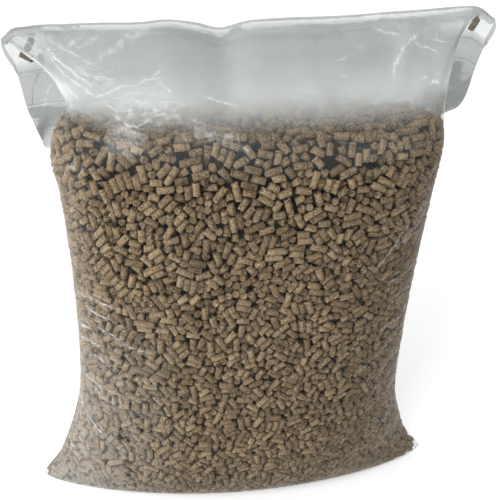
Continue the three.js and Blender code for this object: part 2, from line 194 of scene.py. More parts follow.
@dataclass(frozen=True)
class BagForm:
    """The film tube: its sections from the bottom seal to the loose lip, in millimetres."""

    ear_left: float = 213.0
    ear_right: float = 216.0
    waist_left: float = 164.0
    waist_right: float = 165.0
    shoulder_left: float = 175.0
    shoulder_right: float = 171.0
    neck_left: float = 158.0
    neck_right: float = 169.0
    fold_left: float = 213.0
    fold_right: float = 229.0
    cuff_left: float = 200.0
    cuff_right: float = 222.0
    lip_left: float = 187.0
    lip_right: float = 192.0
    ear_rounding: float = 4.0
    base_half: float = 37.0
    ear_half: float = 49.0
    belly_half: float = 87.0
    shoulder_half: float = 70.0
    ear_height: float = 5.0
    shoulder: float = 420.0
    fold: float = 499.0
    headroom: float = 63.0
    heap_crown: float = 6.0
    heap_tilt: float = 15.0
    setback: float = 52.0
    fold_turn: float = 11.0
    flap_lean: float = 15.0
    fold_lift: float = 2.4
    fold_tilt: float = 6.2
    fold_bow: float = 5.8
    fold_bumps: Tuple[Tuple[float, float, float], ...] = (
        (-213, 7.9, -11), (-197, 12.4, -2.6), (-72, 18.3, 2.8), (-23, 16.6, -5.4), (229, 13.2, -12.9))
    seal_1_drop: float = 57.0
    seal_2_drop: float = 89.0
    cuff_drop: float = 127.0
    lip_drop: float = 160.0
    seal_1_skew: float = 9.0
    seal_2_skew: float = 17.0
    lip_skew: float = 2.0
    sealed_half: float = 0.25
    pocket_half: float = 5.0
    lip_half: float = 1.5
    flap_nip: float = 6.0

    @property
    def headspace(self) -> float:
        """Returns the height of the empty top."""
        return self.fold - self.shoulder

    @property
    def heap(self) -> float:
        """Returns the height of the middle of the heap's top."""
        return self.fold - self.headroom

    def _flap(self, drop: float, left: float, right: float, half: float, skew: float) -> List[float]:
        """Works out one section of the flap.

        Args:
            drop: Length past the fold.
            left: Reach of the left edge.
            right: Reach of the right edge.
            half: Half the thickness of both sheets and what is between them.
            skew: How much further down the flap the right edge lies than the middle.

        Returns:
            The values of the section, as sections() orders them.
        """
        lean = math.radians(self.flap_lean)
        back = self.setback + 0.9 * self.fold_turn + (drop - self.fold_turn) * math.sin(lean)
        up = self.fold + 1.25 * self.fold_turn - drop * math.cos(lean)
        return [self.fold + drop, back, up, 180 - self.flap_lean, left, right, half, 0.3, 0.15, skew]

    def _pocket(self, drop: float, share: float, half: float, skew: float) -> List[float]:
        """Returns one section of the flap between the fold and the cuff."""
        left = self.fold_left + (self.cuff_left - self.fold_left) * share
        right = self.fold_right + (self.cuff_right - self.fold_right) * share
        return self._flap(drop, left - self.flap_nip, right, half, skew)

    def _upright(self, share: float, ear: float, base: float, across: float, through: float) -> List[float]:
        """Returns one section of the lower body, at a share of the way up to the shoulder."""
        up = share * self.shoulder
        left = self.waist_left + (self.ear_left - self.waist_left) * ear
        right = self.waist_right + (self.ear_right - self.waist_right) * ear
        half = self.belly_half + (self.base_half - self.belly_half) * base
        return [up, 0, up, 0, left, right, half, across, through, 0]

    def _upper(self, share: float, high: float, across: float, through: float) -> List[float]:
        """Returns one section between the waist and the shoulder."""
        up = share * self.shoulder
        left = self.waist_left + (self.shoulder_left - self.waist_left) * high
        right = self.waist_right + (self.shoulder_right - self.waist_right) * high
        half = self.belly_half + (self.shoulder_half - self.belly_half) * high
        return [up, 0, up, 0, left, right, half, across, through, 0]

    def _top(self, share: float, lean: float, tip: float, flare: Tuple[float, float],
             half: float, across: float, through: float) -> List[float]:
        """Returns one section of the empty top, where flare is how far each edge is out to the fold."""
        up = self.shoulder + share * self.headspace
        left = self.neck_left + (self.fold_left - self.neck_left) * flare[0]
        right = self.neck_right + (self.fold_right - self.neck_right) * flare[1]
        return [up, lean * self.setback, up, tip, left, right, half, across, through, 0]

    def sections(self) -> np.ndarray:
        """Returns the tube's sections: run, back, up, tip, left, right, half, across, through, skew."""
        half, ear = self.shoulder_half, self.ear_rounding
        rows = [
            [0, 0, 0, 0, self.ear_left - ear, self.ear_right - ear, self.base_half, 1, 1.5, 0],
            [self.ear_height, 0, self.ear_height, 0, self.ear_left, self.ear_right, self.ear_half,
             1, 1.4, 0],
            self._upright(0.07, 0.65, 0.42, 1, 1.12),
            self._upright(0.167, 0.34, 0.18, 0.92, 1),
            self._upright(0.286, 0.09, 0.04, 0.85, 0.9),
            self._upright(0.476, 0, 0, 0.8, 0.85),
            self._upper(0.714, 0.15, 0.8, 0.82),
            self._upper(0.905, 0.6, 0.75, 0.75),
            [self.shoulder, 0.02 * self.setback, self.shoulder, 0, self.shoulder_left, self.shoulder_right,
             half, 0.7, 0.7, 0],
            self._top(0.38, 0.16, 0, (0, 0), 0.81 * half, 0.65, 0.7),
            self._top(0.66, 0.46, 0, (0.22, 0.15), 0.53 * half, 0.6, 0.75),
            self._top(0.89, 0.77, 8, (0.71, 0.38), 0.23 * half, 0.7, 0.9),
            self._top(1, 1, 70, (0.93, 0.7), self.pocket_half, 0.5, 0.6),
            [self.fold + self.fold_turn, self.setback + self.fold_turn,
             self.fold - 0.36 * self.fold_turn, 150, self.fold_left, self.fold_right, self.pocket_half,
             0.3, 0.15, -self.lip_skew],
            self._pocket(0.86 * self.seal_1_drop, 0.2, self.pocket_half, -self.seal_1_skew),
            self._pocket(self.seal_1_drop, 0.3, self.sealed_half, -self.seal_1_skew),
            self._pocket(self.seal_2_drop, 0.6, self.sealed_half, -self.seal_2_skew),
            self._pocket(self.cuff_drop, 1, 2 / 3 * self.lip_half, -self.lip_skew),
            self._flap(self.lip_drop, self.lip_left, self.lip_right, self.lip_half, 0),
        ]
        return np.array(rows, float)

    def at(self, run: np.ndarray) -> np.ndarray:
        """Looks up the tube on a smooth curve through its sections.

        Args:
            run: The runs to look up.

        Returns:
            A row of section values for each run.
        """
        table = self.sections()
        where = table[:, 0]
        low = np.clip(np.searchsorted(where, run, side="right") - 1, 0, len(where) - 2)
        rate = np.empty_like(table)
        rate[1:-1] = (table[2:] - table[:-2]) / (where[2:] - where[:-2])[:, None]
        rate[0] = (table[1] - table[0]) / (where[1] - where[0])
        rate[-1] = (table[-1] - table[-2]) / (where[-1] - where[-2])
        span = (where[low + 1] - where[low])[:, None]
        t = ((run - where[low]) / (where[low + 1] - where[low]))[:, None]
        rise = 3 * t**2 - 2 * t**3
        leave = t * (1 - t) ** 2 * span * rate[low]
        arrive = t**2 * (1 - t) * span * rate[low + 1]
        return table[low] + (table[low + 1] - table[low]) * rise + leave - arrive

    def fold_rise(self, x: np.ndarray) -> np.ndarray:
        """Returns how much the fold rises at a distance to the right of the middle."""
        def bump(centre: float, reach: float, height: float) -> np.ndarray:
            return height * np.exp(-(((x - centre) / reach) ** 2))

        share = x / self.fold_left
        bow = self.fold_lift + self.fold_tilt * share + self.fold_bow * share**2
        return bow + sum(bump(*values) for values in self.fold_bumps)

    def past_fold(self, run: np.ndarray, span: Span) -> np.ndarray:
        """Returns a rise from 0 to 1 over a span of runs that are counted from the fold."""
        return smoothstep(run, self.fold + span[0], self.fold + span[1])

    def seams(self, run: np.ndarray, half: float) -> np.ndarray:
        """Returns 1 on the flap's two seal lines, which fades to 0 at about twice half beside them."""
        lines = (self.fold + self.seal_1_drop, self.fold + self.seal_2_drop)
        return sum(np.exp(-(((run - line) / half) ** 2)) for line in lines)

    def on_sheet(self, run: np.ndarray, across: np.ndarray) -> Tuple[np.ndarray, np.ndarray]:
        """Returns the distance to the right and the run along the carrier of places on a sheet."""
        here = self.at(run)
        x = np.where(across < 0, here[:, 4], here[:, 5]) * across
        return x, run + here[:, 9] * (x / self.fold_left)

    def points(self, run: np.ndarray, across: np.ndarray, side: Side, inset: float = 0.0,
               press: Optional[np.ndarray] = None) -> np.ndarray:
        """Returns places on one sheet of the tube.

        Args:
            run: Run of each place along the tube.
            across: Share of the way from the middle to the edge, from -1 at the left to 1.
            side: The sheet.
            inset: How far inside the film the places lie.
            press: How far the film is pushed inwards at each place, if it is.

        Returns:
            An array of places, in the bag's own axes and millimetres.
        """
        here = self.at(run)
        reach = np.where(across < 0, here[:, 4], here[:, 5]) - inset
        x = reach * across
        fullness = np.clip(1 - np.abs(across) ** (2 / here[:, 7]), 0, 1) ** (here[:, 8] / 2)
        carrier_run = run + here[:, 9] * (x / self.fold_left)
        carrier = self.at(carrier_run)
        tip = np.radians(carrier[:, 3])
        lift = self.fold_rise(x) * smoothstep(carrier_run, self.shoulder + 0.25 * self.headspace, self.fold)
        depth = side.value * (np.maximum(here[:, 6], self.sealed_half) - inset) * fullness
        if press is not None:
            depth = depth - side.value * press * np.minimum(1, 3 * fullness * (1 - across**2))
        back = carrier[:, 1] + depth * np.cos(tip)
        up = carrier[:, 2] - depth * np.sin(tip) + lift
        return np.stack([x, back, up], 1)


@dataclass
class Placement:
    """Where the bag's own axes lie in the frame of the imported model."""

    form: BagForm
    shift: np.ndarray = field(init=False)

    def __post_init__(self) -> None:
        """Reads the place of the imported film."""
        low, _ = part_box("bag_film")
        widest = max(self.form.ear_left, self.form.fold_left)
        self.shift = np.array([low.x + widest * MM, low.y + self.form.belly_half * MM, 0.0])

    def metres(self, places: np.ndarray) -> np.ndarray:
        """Returns places in the bag's own axes as metres in the frame."""
        return places * MM + self.shift


class MeshMaker:
    """Turns arrays into Blender meshes."""

    @staticmethod
    def build(name: str, places: np.ndarray, loops: np.ndarray, counts: np.ndarray) -> bpy.types.Object:
        """Makes a mesh object.

        Args:
            name: Name of the object.
            places: Vertices in metres.
            loops: Vertex numbers of all faces, one face after the other.
            counts: How many corners each face has.

        Returns:
            The new object, linked to the scene.
        """
        mesh = bpy.data.meshes.new(name)
        mesh.vertices.add(len(places))
        mesh.vertices.foreach_set("co", np.ascontiguousarray(places, np.float32).ravel())
        mesh.loops.add(len(loops))
        mesh.loops.foreach_set("vertex_index", np.ascontiguousarray(loops, np.int32))
        mesh.polygons.add(len(counts))
        starts = np.concatenate([[0], np.cumsum(counts)[:-1]])
        mesh.polygons.foreach_set("loop_start", np.ascontiguousarray(starts, np.int32))
        mesh.update(calc_edges=True)
        mesh.validate()
        made = bpy.data.objects.new(name, mesh)
        bpy.context.scene.collection.objects.link(made)
        return made

    @staticmethod
    def ring_faces(rows: int, count: int) -> np.ndarray:
        """Joins rings of corners that follow one another by faces.

        Args:
            rows: Number of rings.
            count: Corners of each ring.

        Returns:
            The four corners of each face.
        """
        row, column = np.meshgrid(np.arange(rows - 1), np.arange(count), indexing="ij")
        row, column = row.ravel(), column.ravel()
        beside = (column + 1) % count
        return np.stack([row * count + column, (row + 1) * count + column,
                         (row + 1) * count + beside, row * count + beside], 1)

    @staticmethod
    def attribute(made: bpy.types.Object, name: str, values: np.ndarray) -> None:
        """Stores a number or a vector for each vertex."""
        kind = "FLOAT" if values.ndim == 1 else "FLOAT_VECTOR"
        key = "value" if values.ndim == 1 else "vector"
        layer = made.data.attributes.new(name, kind, "POINT")
        layer.data.foreach_set(key, np.ascontiguousarray(values, np.float32).ravel())

    @staticmethod
    def smooth(made: bpy.types.Object, flags: Optional[np.ndarray] = None) -> None:
        """Shades faces smooth, all of them or those that flags name."""
        count = len(made.data.polygons)
        made.data.polygons.foreach_set("use_smooth", np.ones(count, bool) if flags is None else flags)


@dataclass(frozen=True)
class PelletSizes:
    """Sizes of the pellets and of the layer of them that can be seen, in millimetres.

    Attributes:
        diameter: Width of a pellet.
        shortest: Length of the shortest ones.
        usual: Usual length.
        longest: Length of the longest ones.
        layer: Depth of the layer behind the film and under the free top.
        filling: Share of the layer that is wood.
        gap: Least distance from a pellet to the film.
        top_share: How many of the places under the free top are kept.
        end_share: Share of the radius by which a pellet's middle line stops before its end.
        outward: How far pellets turn their ends to the film.
        evenness: How alike their lengths are.
    """

    diameter: float = 6.5
    shortest: float = 7.0
    usual: float = 13.0
    longest: float = 27.0
    layer: float = 15.0
    filling: float = 0.53
    gap: float = 0.5
    top_share: float = 0.72
    end_share: float = 0.55
    outward: float = 0.8
    evenness: float = 6.0

    @property
    def radius(self) -> float:
        """Returns half the width of a pellet."""
        return self.diameter / 2


@dataclass
class PelletFill:
    """The pellets that lie against the film and on top of the heap, packed by pushing them apart.

    Attributes:
        seed: Start of the random numbers.
        tries: Places that are drawn at random.
        rounds: Rounds of pushing.
        relist: Rounds between two searches for close pairs.
        slack: How far apart a pair may be and still be listed, in millimetres.
        calm: How much each touch lessens the pellet's move.
        squeeze: Millimetres to the film in each round, at first and near the end.
        change: Share of the rounds after which the second one holds.
        tilt_reach: Where the tilt of the free top ends, as a share of the shoulder's half depth.
        side_rise: How much higher the free top is at the left and right.
        rim_rise: How much higher it is at the back.
        rim_span: Where that rise starts and ends.
        waves: The ripples of the free top.
        proud: How far single pellets may stand out of the free top, least and most.
        room_above: Millimetres above the heap up to which the film's form is looked up.
        levels: Heights at which it is looked up.
        start_above: Millimetres above the heap below which pellets start.
        largest_push: Most that a round moves a pellet's end away from the film.
        largest_lift: Most that it moves it up from the floor or down from the free top.
        recall: Share of its way back that a pellet which sank too deep goes in a round.
        recall_reach: Millimetres of that way that count at most.
        near_enough: Distance to the film from which a pellet isn't drawn to it.
    """

    form: BagForm
    sizes: PelletSizes
    seed: int = 5
    tries: int = 260000
    rounds: int = 200
    relist: int = 9
    slack: float = 5.0
    calm: float = 0.45
    squeeze: Span = (0.16, 0.02)
    change: float = 0.6
    tilt_reach: float = 0.85
    side_rise: float = 6.0
    rim_rise: float = 3.0
    rim_span: Span = (10.0, 50.0)
    waves: Tuple[Wave, ...] = (Wave(2.2, 37, start=1.0), Wave(1.6, 17, 23), Wave(1.2, 53, 11))
    proud: Span = (-4.0, 6.0)
    room_above: float = 26.0
    levels: int = 460
    start_above: float = 22.0
    largest_push: float = 6.0
    largest_lift: float = 3.0
    recall: float = 0.2
    recall_reach: float = 5.0
    near_enough: float = 0.2
    random: np.random.Generator = field(init=False)
    heights: np.ndarray = field(init=False)
    room: np.ndarray = field(init=False)
    centres: np.ndarray = field(init=False)
    axes: np.ndarray = field(init=False)
    halves: np.ndarray = field(init=False)
    stand: np.ndarray = field(init=False)

    def __post_init__(self) -> None:
        """Prepares the room that the pellets may take."""
        self.random = np.random.default_rng(self.seed)
        self.heights = np.linspace(0, self.form.heap + self.room_above, self.levels)
        self.room = self.form.at(self.heights)

    def mound(self, x: np.ndarray, y: np.ndarray) -> np.ndarray:
        """Works out the heap's free top, which stands higher at the front.

        Args:
            x: Distance to the right of each place.
            y: Distance to the back of each place.

        Returns:
            The height of the top there.
        """
        form = self.form
        tilt = form.heap_tilt * np.clip(-y / (self.tilt_reach * form.shoulder_half), -1.1, 1.1)
        sides = self.side_rise * (x / form.shoulder_left) ** 2
        rim = self.rim_rise * smoothstep(y, *self.rim_span)
        return form.heap - 0.5 * form.heap_crown + tilt + sides + ripple(self.waves, x, y) + rim

    def wall(self, places: np.ndarray, inset: float) -> Tuple[np.ndarray, np.ndarray]:
        """Finds how far places lie inside the film.

        Args:
            places: Places in the bag's own axes.
            inset: How far inside the film the wall is taken to be.

        Returns:
            The distance to the wall, negative outside it, and the direction inwards.
        """
        z = np.clip(places[:, 2], 0, self.heights[-1])
        values = [np.interp(z, self.heights, self.room[:, i]) for i in (1, 4, 5, 6, 7, 8)]
        back, left, right, half, across, through = values
        reach = np.where(places[:, 0] < 0, left, right) - inset
        deep = np.maximum(half - inset, 2.0)
        n, m = 2 / across, 2 / through
        u = np.abs(places[:, 0]) / reach
        v = np.abs(places[:, 1] - back) / deep
        level = 1 - u**n - v**m
        slope_x = n * np.maximum(u, 1e-3) ** (n - 1) / reach
        slope_y = m * np.maximum(v, 1e-3) ** (m - 1) / deep
        steep = np.hypot(slope_x, slope_y)
        inward = np.stack([-np.sign(places[:, 0]) * slope_x, -np.sign(places[:, 1] - back) * slope_y,
                           np.zeros(len(places))], 1) / steep[:, None]
        return level / steep, inward

    def scatter(self) -> None:
        """Puts pellets at random in the layer behind the film and under the free top."""
        sizes, form, random = self.sizes, self.form, self.random
        usual = math.pi * sizes.radius**2 * sizes.usual
        low = np.array([-form.ear_left, -form.belly_half, 0.0])
        high = np.array([form.ear_right, form.belly_half, form.heap + self.start_above])
        places = low + (high - low) * random.random((self.tries, 3))
        inside, _ = self.wall(places, 1.0)
        depth = np.minimum(inside, self.mound(places[:, 0], places[:, 1]) - places[:, 2])
        keep = (inside > 0) & (depth > 0) & (depth < sizes.layer) & (places[:, 2] > 1)
        keep &= (inside < depth + 1e-6) | (random.random(self.tries) < sizes.top_share)
        volume = keep.sum() / self.tries * np.prod(high - low)
        count = int(volume * sizes.filling / usual)
        self.centres = places[keep][:count]
        heading = random.normal(size=(count, 3))
        turned = sizes.outward * random.choice([-1, 1], count)
        heading += self.wall(self.centres, 1.0)[1] * turned[:, None]
        self.axes = heading / np.linalg.norm(heading, axis=1)[:, None]
        spread = random.gamma(sizes.evenness, (sizes.usual - sizes.shortest) / sizes.evenness, count)
        lengths = np.clip(sizes.shortest + spread, sizes.shortest, sizes.longest)
        self.halves = lengths / 2 - sizes.end_share * sizes.diameter / 2
        self.stand = random.uniform(*self.proud, count)
        LOG.info("scattered %d pellets in %.2f litres", count, volume * 1e-6)

    def _pairs(self) -> Tuple[np.ndarray, np.ndarray]:
        """Returns the pairs of pellets that lie close enough to touch soon."""
        cell = self.sizes.longest + self.sizes.diameter
        base = 256
        keys = np.floor(self.centres / cell).astype(np.int64) + base // 4
        code = (keys[:, 0] * base + keys[:, 1]) * base + keys[:, 2]
        order = np.argsort(code, kind="stable")
        ranked = code[order]
        first: List[np.ndarray] = []
        second: List[np.ndarray] = []
        for dx, dy, dz in itertools.product((-1, 0, 1), repeat=3):
            if (dx, dy, dz) < (0, 0, 0):
                continue
            wanted = ranked + (dx * base + dy) * base + dz
            start = np.searchsorted(ranked, wanted, side="left")
            stop = np.searchsorted(ranked, wanted, side="right")
            if (dx, dy, dz) == (0, 0, 0):
                start = np.arange(len(ranked)) + 1
            number = np.maximum(stop - start, 0)
            one = np.repeat(np.arange(len(ranked)), number)
            offset = np.arange(number.sum()) - np.repeat(np.cumsum(number) - number, number)
            two = np.repeat(start, number) + offset
            a, b = order[one], order[two]
            away = np.linalg.norm(self.centres[a] - self.centres[b], axis=1)
            near = away < self.halves[a] + self.halves[b] + self.sizes.diameter + self.slack
            first.append(a[near])
            second.append(b[near])
        return np.concatenate(first), np.concatenate(second)

    def settle(self) -> None:
        """Pushes pellets apart and against the film until they lie packed."""
        radius = self.sizes.radius
        one = two = np.zeros(0, int)
        count = len(self.centres)
        for turn in range(self.rounds):
            if turn % self.relist == 0:
                one, two = self._pairs()
            reach = self.axes * self.halves[:, None]
            ends = [self.centres - reach, self.centres + reach]
            share_a, share_b, gap, away = self._closest(one, two)
            hit = away < 2 * radius
            a, b = one[hit], two[hit]
            push = gap[hit] * ((2 * radius - away[hit]) / np.maximum(away[hit], 1e-3) * 0.5)[:, None]
            moves = np.zeros((2, count, 3))
            touches = np.zeros(count)
            for who, sign, share in ((a, 1.0, share_a[hit]), (b, -1.0, share_b[hit])):
                touches += np.bincount(who, minlength=count)
                for end, weight in ((0, (1 - share) / 2), (1, (1 + share) / 2)):
                    level = sign * weight / (weight**2 + (1 - weight) ** 2)
                    for axis in range(3):
                        moves[end, :, axis] += np.bincount(who, push[:, axis] * level, count)
            relax = 1.0 / np.maximum(1.0, self.calm * touches)[:, None]
            pull = self._pull(radius, self.squeeze[0 if turn < self.rounds * self.change else 1])
            for end in (0, 1):
                ends[end] = self._confine(ends[end] + moves[end] * relax + pull, radius)
            self.centres = (ends[0] + ends[1]) / 2
            along = ends[1] - ends[0]
            self.axes = along / np.maximum(np.linalg.norm(along, axis=1), 1e-6)[:, None]
        depth = 2 * radius - away[away < 2 * radius]
        LOG.info("settled: mean touch %.2f mm, deepest %.2f mm", depth.mean(), depth.max())

    def _confine(self, places: np.ndarray, radius: float) -> np.ndarray:
        """Keeps the ends of pellets inside the film and under the free top.

        Args:
            places: The ends' places.
            radius: The pellets' radius.

        Returns:
            The places that they are moved to.
        """
        inside, inward = self.wall(places, radius + self.sizes.gap)
        places = places + inward * np.clip(-inside, 0, self.largest_push)[:, None]
        over = places[:, 2] + radius - self.mound(places[:, 0], places[:, 1]) - self.stand
        under = radius + self.sizes.gap - places[:, 2]
        places[:, 2] += np.clip(under, 0, self.largest_lift) - np.clip(over, 0, self.largest_lift)
        return places

    def _pull(self, radius: float, squeeze: float) -> np.ndarray:
        """Works out the small step of pellets towards the film or the free top, whichever is nearer.

        Args:
            radius: The pellets' radius.
            squeeze: Length of the step.

        Returns:
            The step of each pellet.
        """
        inside, inward = self.wall(self.centres, radius + self.sizes.gap)
        over = self.mound(self.centres[:, 0], self.centres[:, 1]) + self.stand - radius - self.centres[:, 2]
        deep = np.minimum(inside, over)
        sunk = np.clip(deep - (self.sizes.layer - 2 * radius), 0, self.recall_reach)
        step = squeeze + self.recall * sunk
        towards = np.where((inside < over)[:, None], -inward, np.array([0.0, 0.0, 1.0]))
        return towards * (step * (deep > self.near_enough))[:, None]

    def _closest(self, one: np.ndarray, two: np.ndarray) -> Tuple[np.ndarray, ...]:
        """Finds the closest places of pairs of pellets.

        Args:
            one: Number of the first pellet of each pair.
            two: Number of the second one.

        Returns:
            The share along each pellet from -1 to 1, the way from the second to the first and its
            length.
        """
        d1, d2 = self.axes[one], self.axes[two]
        h1, h2 = self.halves[one], self.halves[two]
        r = self.centres[one] - self.centres[two]
        b = np.einsum("ij,ij->i", d1, d2)
        c = np.einsum("ij,ij->i", d1, r)
        f = np.einsum("ij,ij->i", d2, r)
        denominator = np.maximum(1 - b * b, 1e-4)
        s = np.clip((b * f - c) / denominator, -h1, h1)
        t = np.clip(b * s + f, -h2, h2)
        s = np.clip(b * t - c, -h1, h1)
        gap = r + d1 * s[:, None] - d2 * t[:, None]
        return s / h1, t / h2, gap, np.linalg.norm(gap, axis=1)


class Graph:
    """A short way to write shader nodes."""

    def __init__(self, tree: bpy.types.NodeTree) -> None:
        """Keeps the tree that the nodes are added to."""
        self.tree = tree

    def add(self, kind: str, inputs: Optional[Dict[object, object]] = None,
            **settings: object) -> bpy.types.Node:
        """Adds a node.

        Args:
            kind: The node's type, without the words that all of them start with.
            inputs: Values or sockets for its inputs, by name or number.
            settings: Values for its other settings.

        Returns:
            The new node.
        """
        node = self.tree.nodes.new("ShaderNode" + kind)
        for key, value in settings.items():
            setattr(node, key, value)
        for key, value in (inputs or {}).items():
            if isinstance(value, bpy.types.NodeSocket):
                self.tree.links.new(value, node.inputs[key])
            else:
                node.inputs[key].default_value = value
        return node

    def math(self, kind: str, first: object, second: object = 0.0,
             third: object = 0.0) -> bpy.types.NodeSocket:
        """Adds one sum and returns its result."""
        return self.add("Math", {0: first, 1: second, 2: third}, operation=kind).outputs[0]

    def value(self, name: str) -> bpy.types.NodeSocket:
        """Reads a number that is stored at the mesh's corners."""
        return self.add("Attribute", attribute_name=name).outputs["Fac"]

    def vector(self, name: str) -> bpy.types.NodeSocket:
        """Reads a vector that is stored at the mesh's corners."""
        return self.add("Attribute", attribute_name=name).outputs["Vector"]

    def noise(self, place: object, scale: float, detail: float = 2.0,
              rough: float = 0.5) -> bpy.types.NodeSocket:
        """Adds a noise texture and returns its value."""
        made = self.add("TexNoise", {"Vector": place, "Scale": scale, "Detail": detail, "Roughness": rough})
        return made.outputs["Fac"]

    def stretch(self, place: object, scale: Tuple[float, float, float],
                turn: Tuple[float, float, float] = (0.0, 0.0, 0.0)) -> bpy.types.NodeSocket:
        """Turns and stretches texture places."""
        made = self.add("Mapping", {"Vector": place, "Scale": scale, "Rotation": turn})
        return made.outputs[0]

    def band(self, value: object, low: float, high: float, to_low: float = 0.0,
             to_high: float = 1.0) -> bpy.types.NodeSocket:
        """Maps a range of a value smoothly to another range."""
        made = self.add("MapRange", {0: value, 1: low, 2: high, 3: to_low, 4: to_high},
                        interpolation_type="SMOOTHSTEP")
        return made.outputs[0]

    def blend(self, share: object, first: object, second: object) -> bpy.types.NodeSocket:
        """Mixes two colours."""
        return self.add("Mix", {0: share, 6: first, 7: second}, data_type="RGBA").outputs[2]


class PressedWood:
    """The look of pressed sawdust, as a node group: fine strands, dark specks and cracks across."""

    NAME = "pressed_sawdust"
    TONE_REACH = 0.28
    SPOILT_COLOR: Color = (0.045, 0.03, 0.02, 1.0)

    @classmethod
    def group(cls) -> bpy.types.NodeTree:
        """Returns the node group, and builds it the first time."""
        if cls.NAME in bpy.data.node_groups:
            return bpy.data.node_groups[cls.NAME]
        tree = bpy.data.node_groups.new(cls.NAME, "ShaderNodeTree")
        wanted = (("Place", "INPUT", "Vector"), ("Tone", "INPUT", "Float"), ("Pale", "INPUT", "Color"),
                  ("Dark", "INPUT", "Color"), ("Color", "OUTPUT", "Color"), ("Height", "OUTPUT", "Float"),
                  ("Roughness", "OUTPUT", "Float"))
        for label, way, kind in wanted:
            tree.interface.new_socket(label, in_out=way, socket_type="NodeSocket" + kind)
        graph = Graph(tree)
        source = tree.nodes.new("NodeGroupInput").outputs
        place = source["Place"]
        strands = graph.noise(graph.stretch(place, (1.5, 1.5, 0.35)), 1.0, 3.0, 0.6)
        grains = graph.noise(place, 0.8, 4.0, 0.65)
        cells = graph.add("TexVoronoi", {"Vector": place, "Scale": 0.5, "Randomness": 1.0})
        size = graph.noise(place, 0.5, 1.0)
        speck = graph.band(graph.math("ADD", cells.outputs["Distance"], size), 0.66, 0.80, 1.0, 0.0)
        crack_place = graph.stretch(place, (0.12, 0.12, 1.0))
        crack = graph.band(graph.noise(crack_place, 0.42, 2.0), 0.32, 0.42, 1.0, 0.0)
        mixed = graph.math("MULTIPLY_ADD", strands, 0.6, graph.math("MULTIPLY", grains, 0.6))
        toned = graph.math("MULTIPLY", source["Tone"], cls.TONE_REACH)
        share = graph.math("ADD", graph.band(mixed, 0.45, 0.77), toned)
        share = graph.math("MINIMUM", graph.math("MAXIMUM", share, 0.0), 1.0)
        color = graph.blend(share, source["Dark"], source["Pale"])
        specked, cracked = graph.math("MULTIPLY", speck, 0.85), graph.math("MULTIPLY", crack, 0.6)
        color = graph.blend(graph.math("MAXIMUM", specked, cracked), color, cls.SPOILT_COLOR)
        pitted = graph.math("MULTIPLY", graph.math("MAXIMUM", speck, crack), 0.5)
        level = graph.math("SUBTRACT", mixed, pitted)
        sink = tree.nodes.new("NodeGroupOutput").inputs
        tree.links.new(color, sink["Color"])
        tree.links.new(level, sink["Height"])
        tree.links.new(graph.band(grains, 0.3, 0.7, 0.72, 0.95), sink["Roughness"])
        return tree


@dataclass(frozen=True)
class PelletFinish:
    """How a pellet looks.

    Attributes:
        name: Name of the material.
        pale: Color of its palest strands.
        dark: Color of its darkest strands.
        lit_depth: Millimetres below the heap's surface down to which no shade is painted on it.
        dark_depth: Millimetres below the heap's surface at which its painted shade is full.
        painted_shade_color: Color of the shade painted on deep pellets, for the dark between them.
        deepest: Share of that painted shade there.
        specular: Strength of its faint gloss.
    """

    name: str
    pale: Color
    dark: Color
    lit_depth: float = 3.0
    dark_depth: float = 10.0
    painted_shade_color: Color = (0.012, 0.008, 0.005, 1.0)
    deepest: float = 0.92
    specular: float = 0.25

    def build(self) -> bpy.types.Material:
        """Returns the pellets' material."""
        material = bpy.data.materials.new(self.name)
        material.use_nodes = True
        graph = Graph(material.node_tree)
        surface = material.node_tree.nodes["Principled BSDF"]
        wood = graph.add("Group", {"Place": graph.vector("strand"), "Tone": graph.value("tone"),
                                   "Pale": self.pale, "Dark": self.dark}, node_tree=PressedWood.group())
        bump = graph.add("Bump", {"Strength": 0.9, "Distance": 0.0005, "Height": wood.outputs["Height"]})
        # Painted shade: pellets deeper in the heap are painted darker, in place of the shade that falls
        # between them.
        painted_shade = graph.band(graph.value("depth"), self.lit_depth, self.dark_depth, 0.0, self.deepest)
        color = graph.blend(painted_shade, wood.outputs["Color"], self.painted_shade_color)
        for key, value in (("Base Color", color), ("Roughness", wood.outputs["Roughness"]),
                           ("Normal", bump.outputs[0])):
            material.node_tree.links.new(value, surface.inputs[key])
        surface.inputs["Specular IOR Level"].default_value = self.specular
        return material


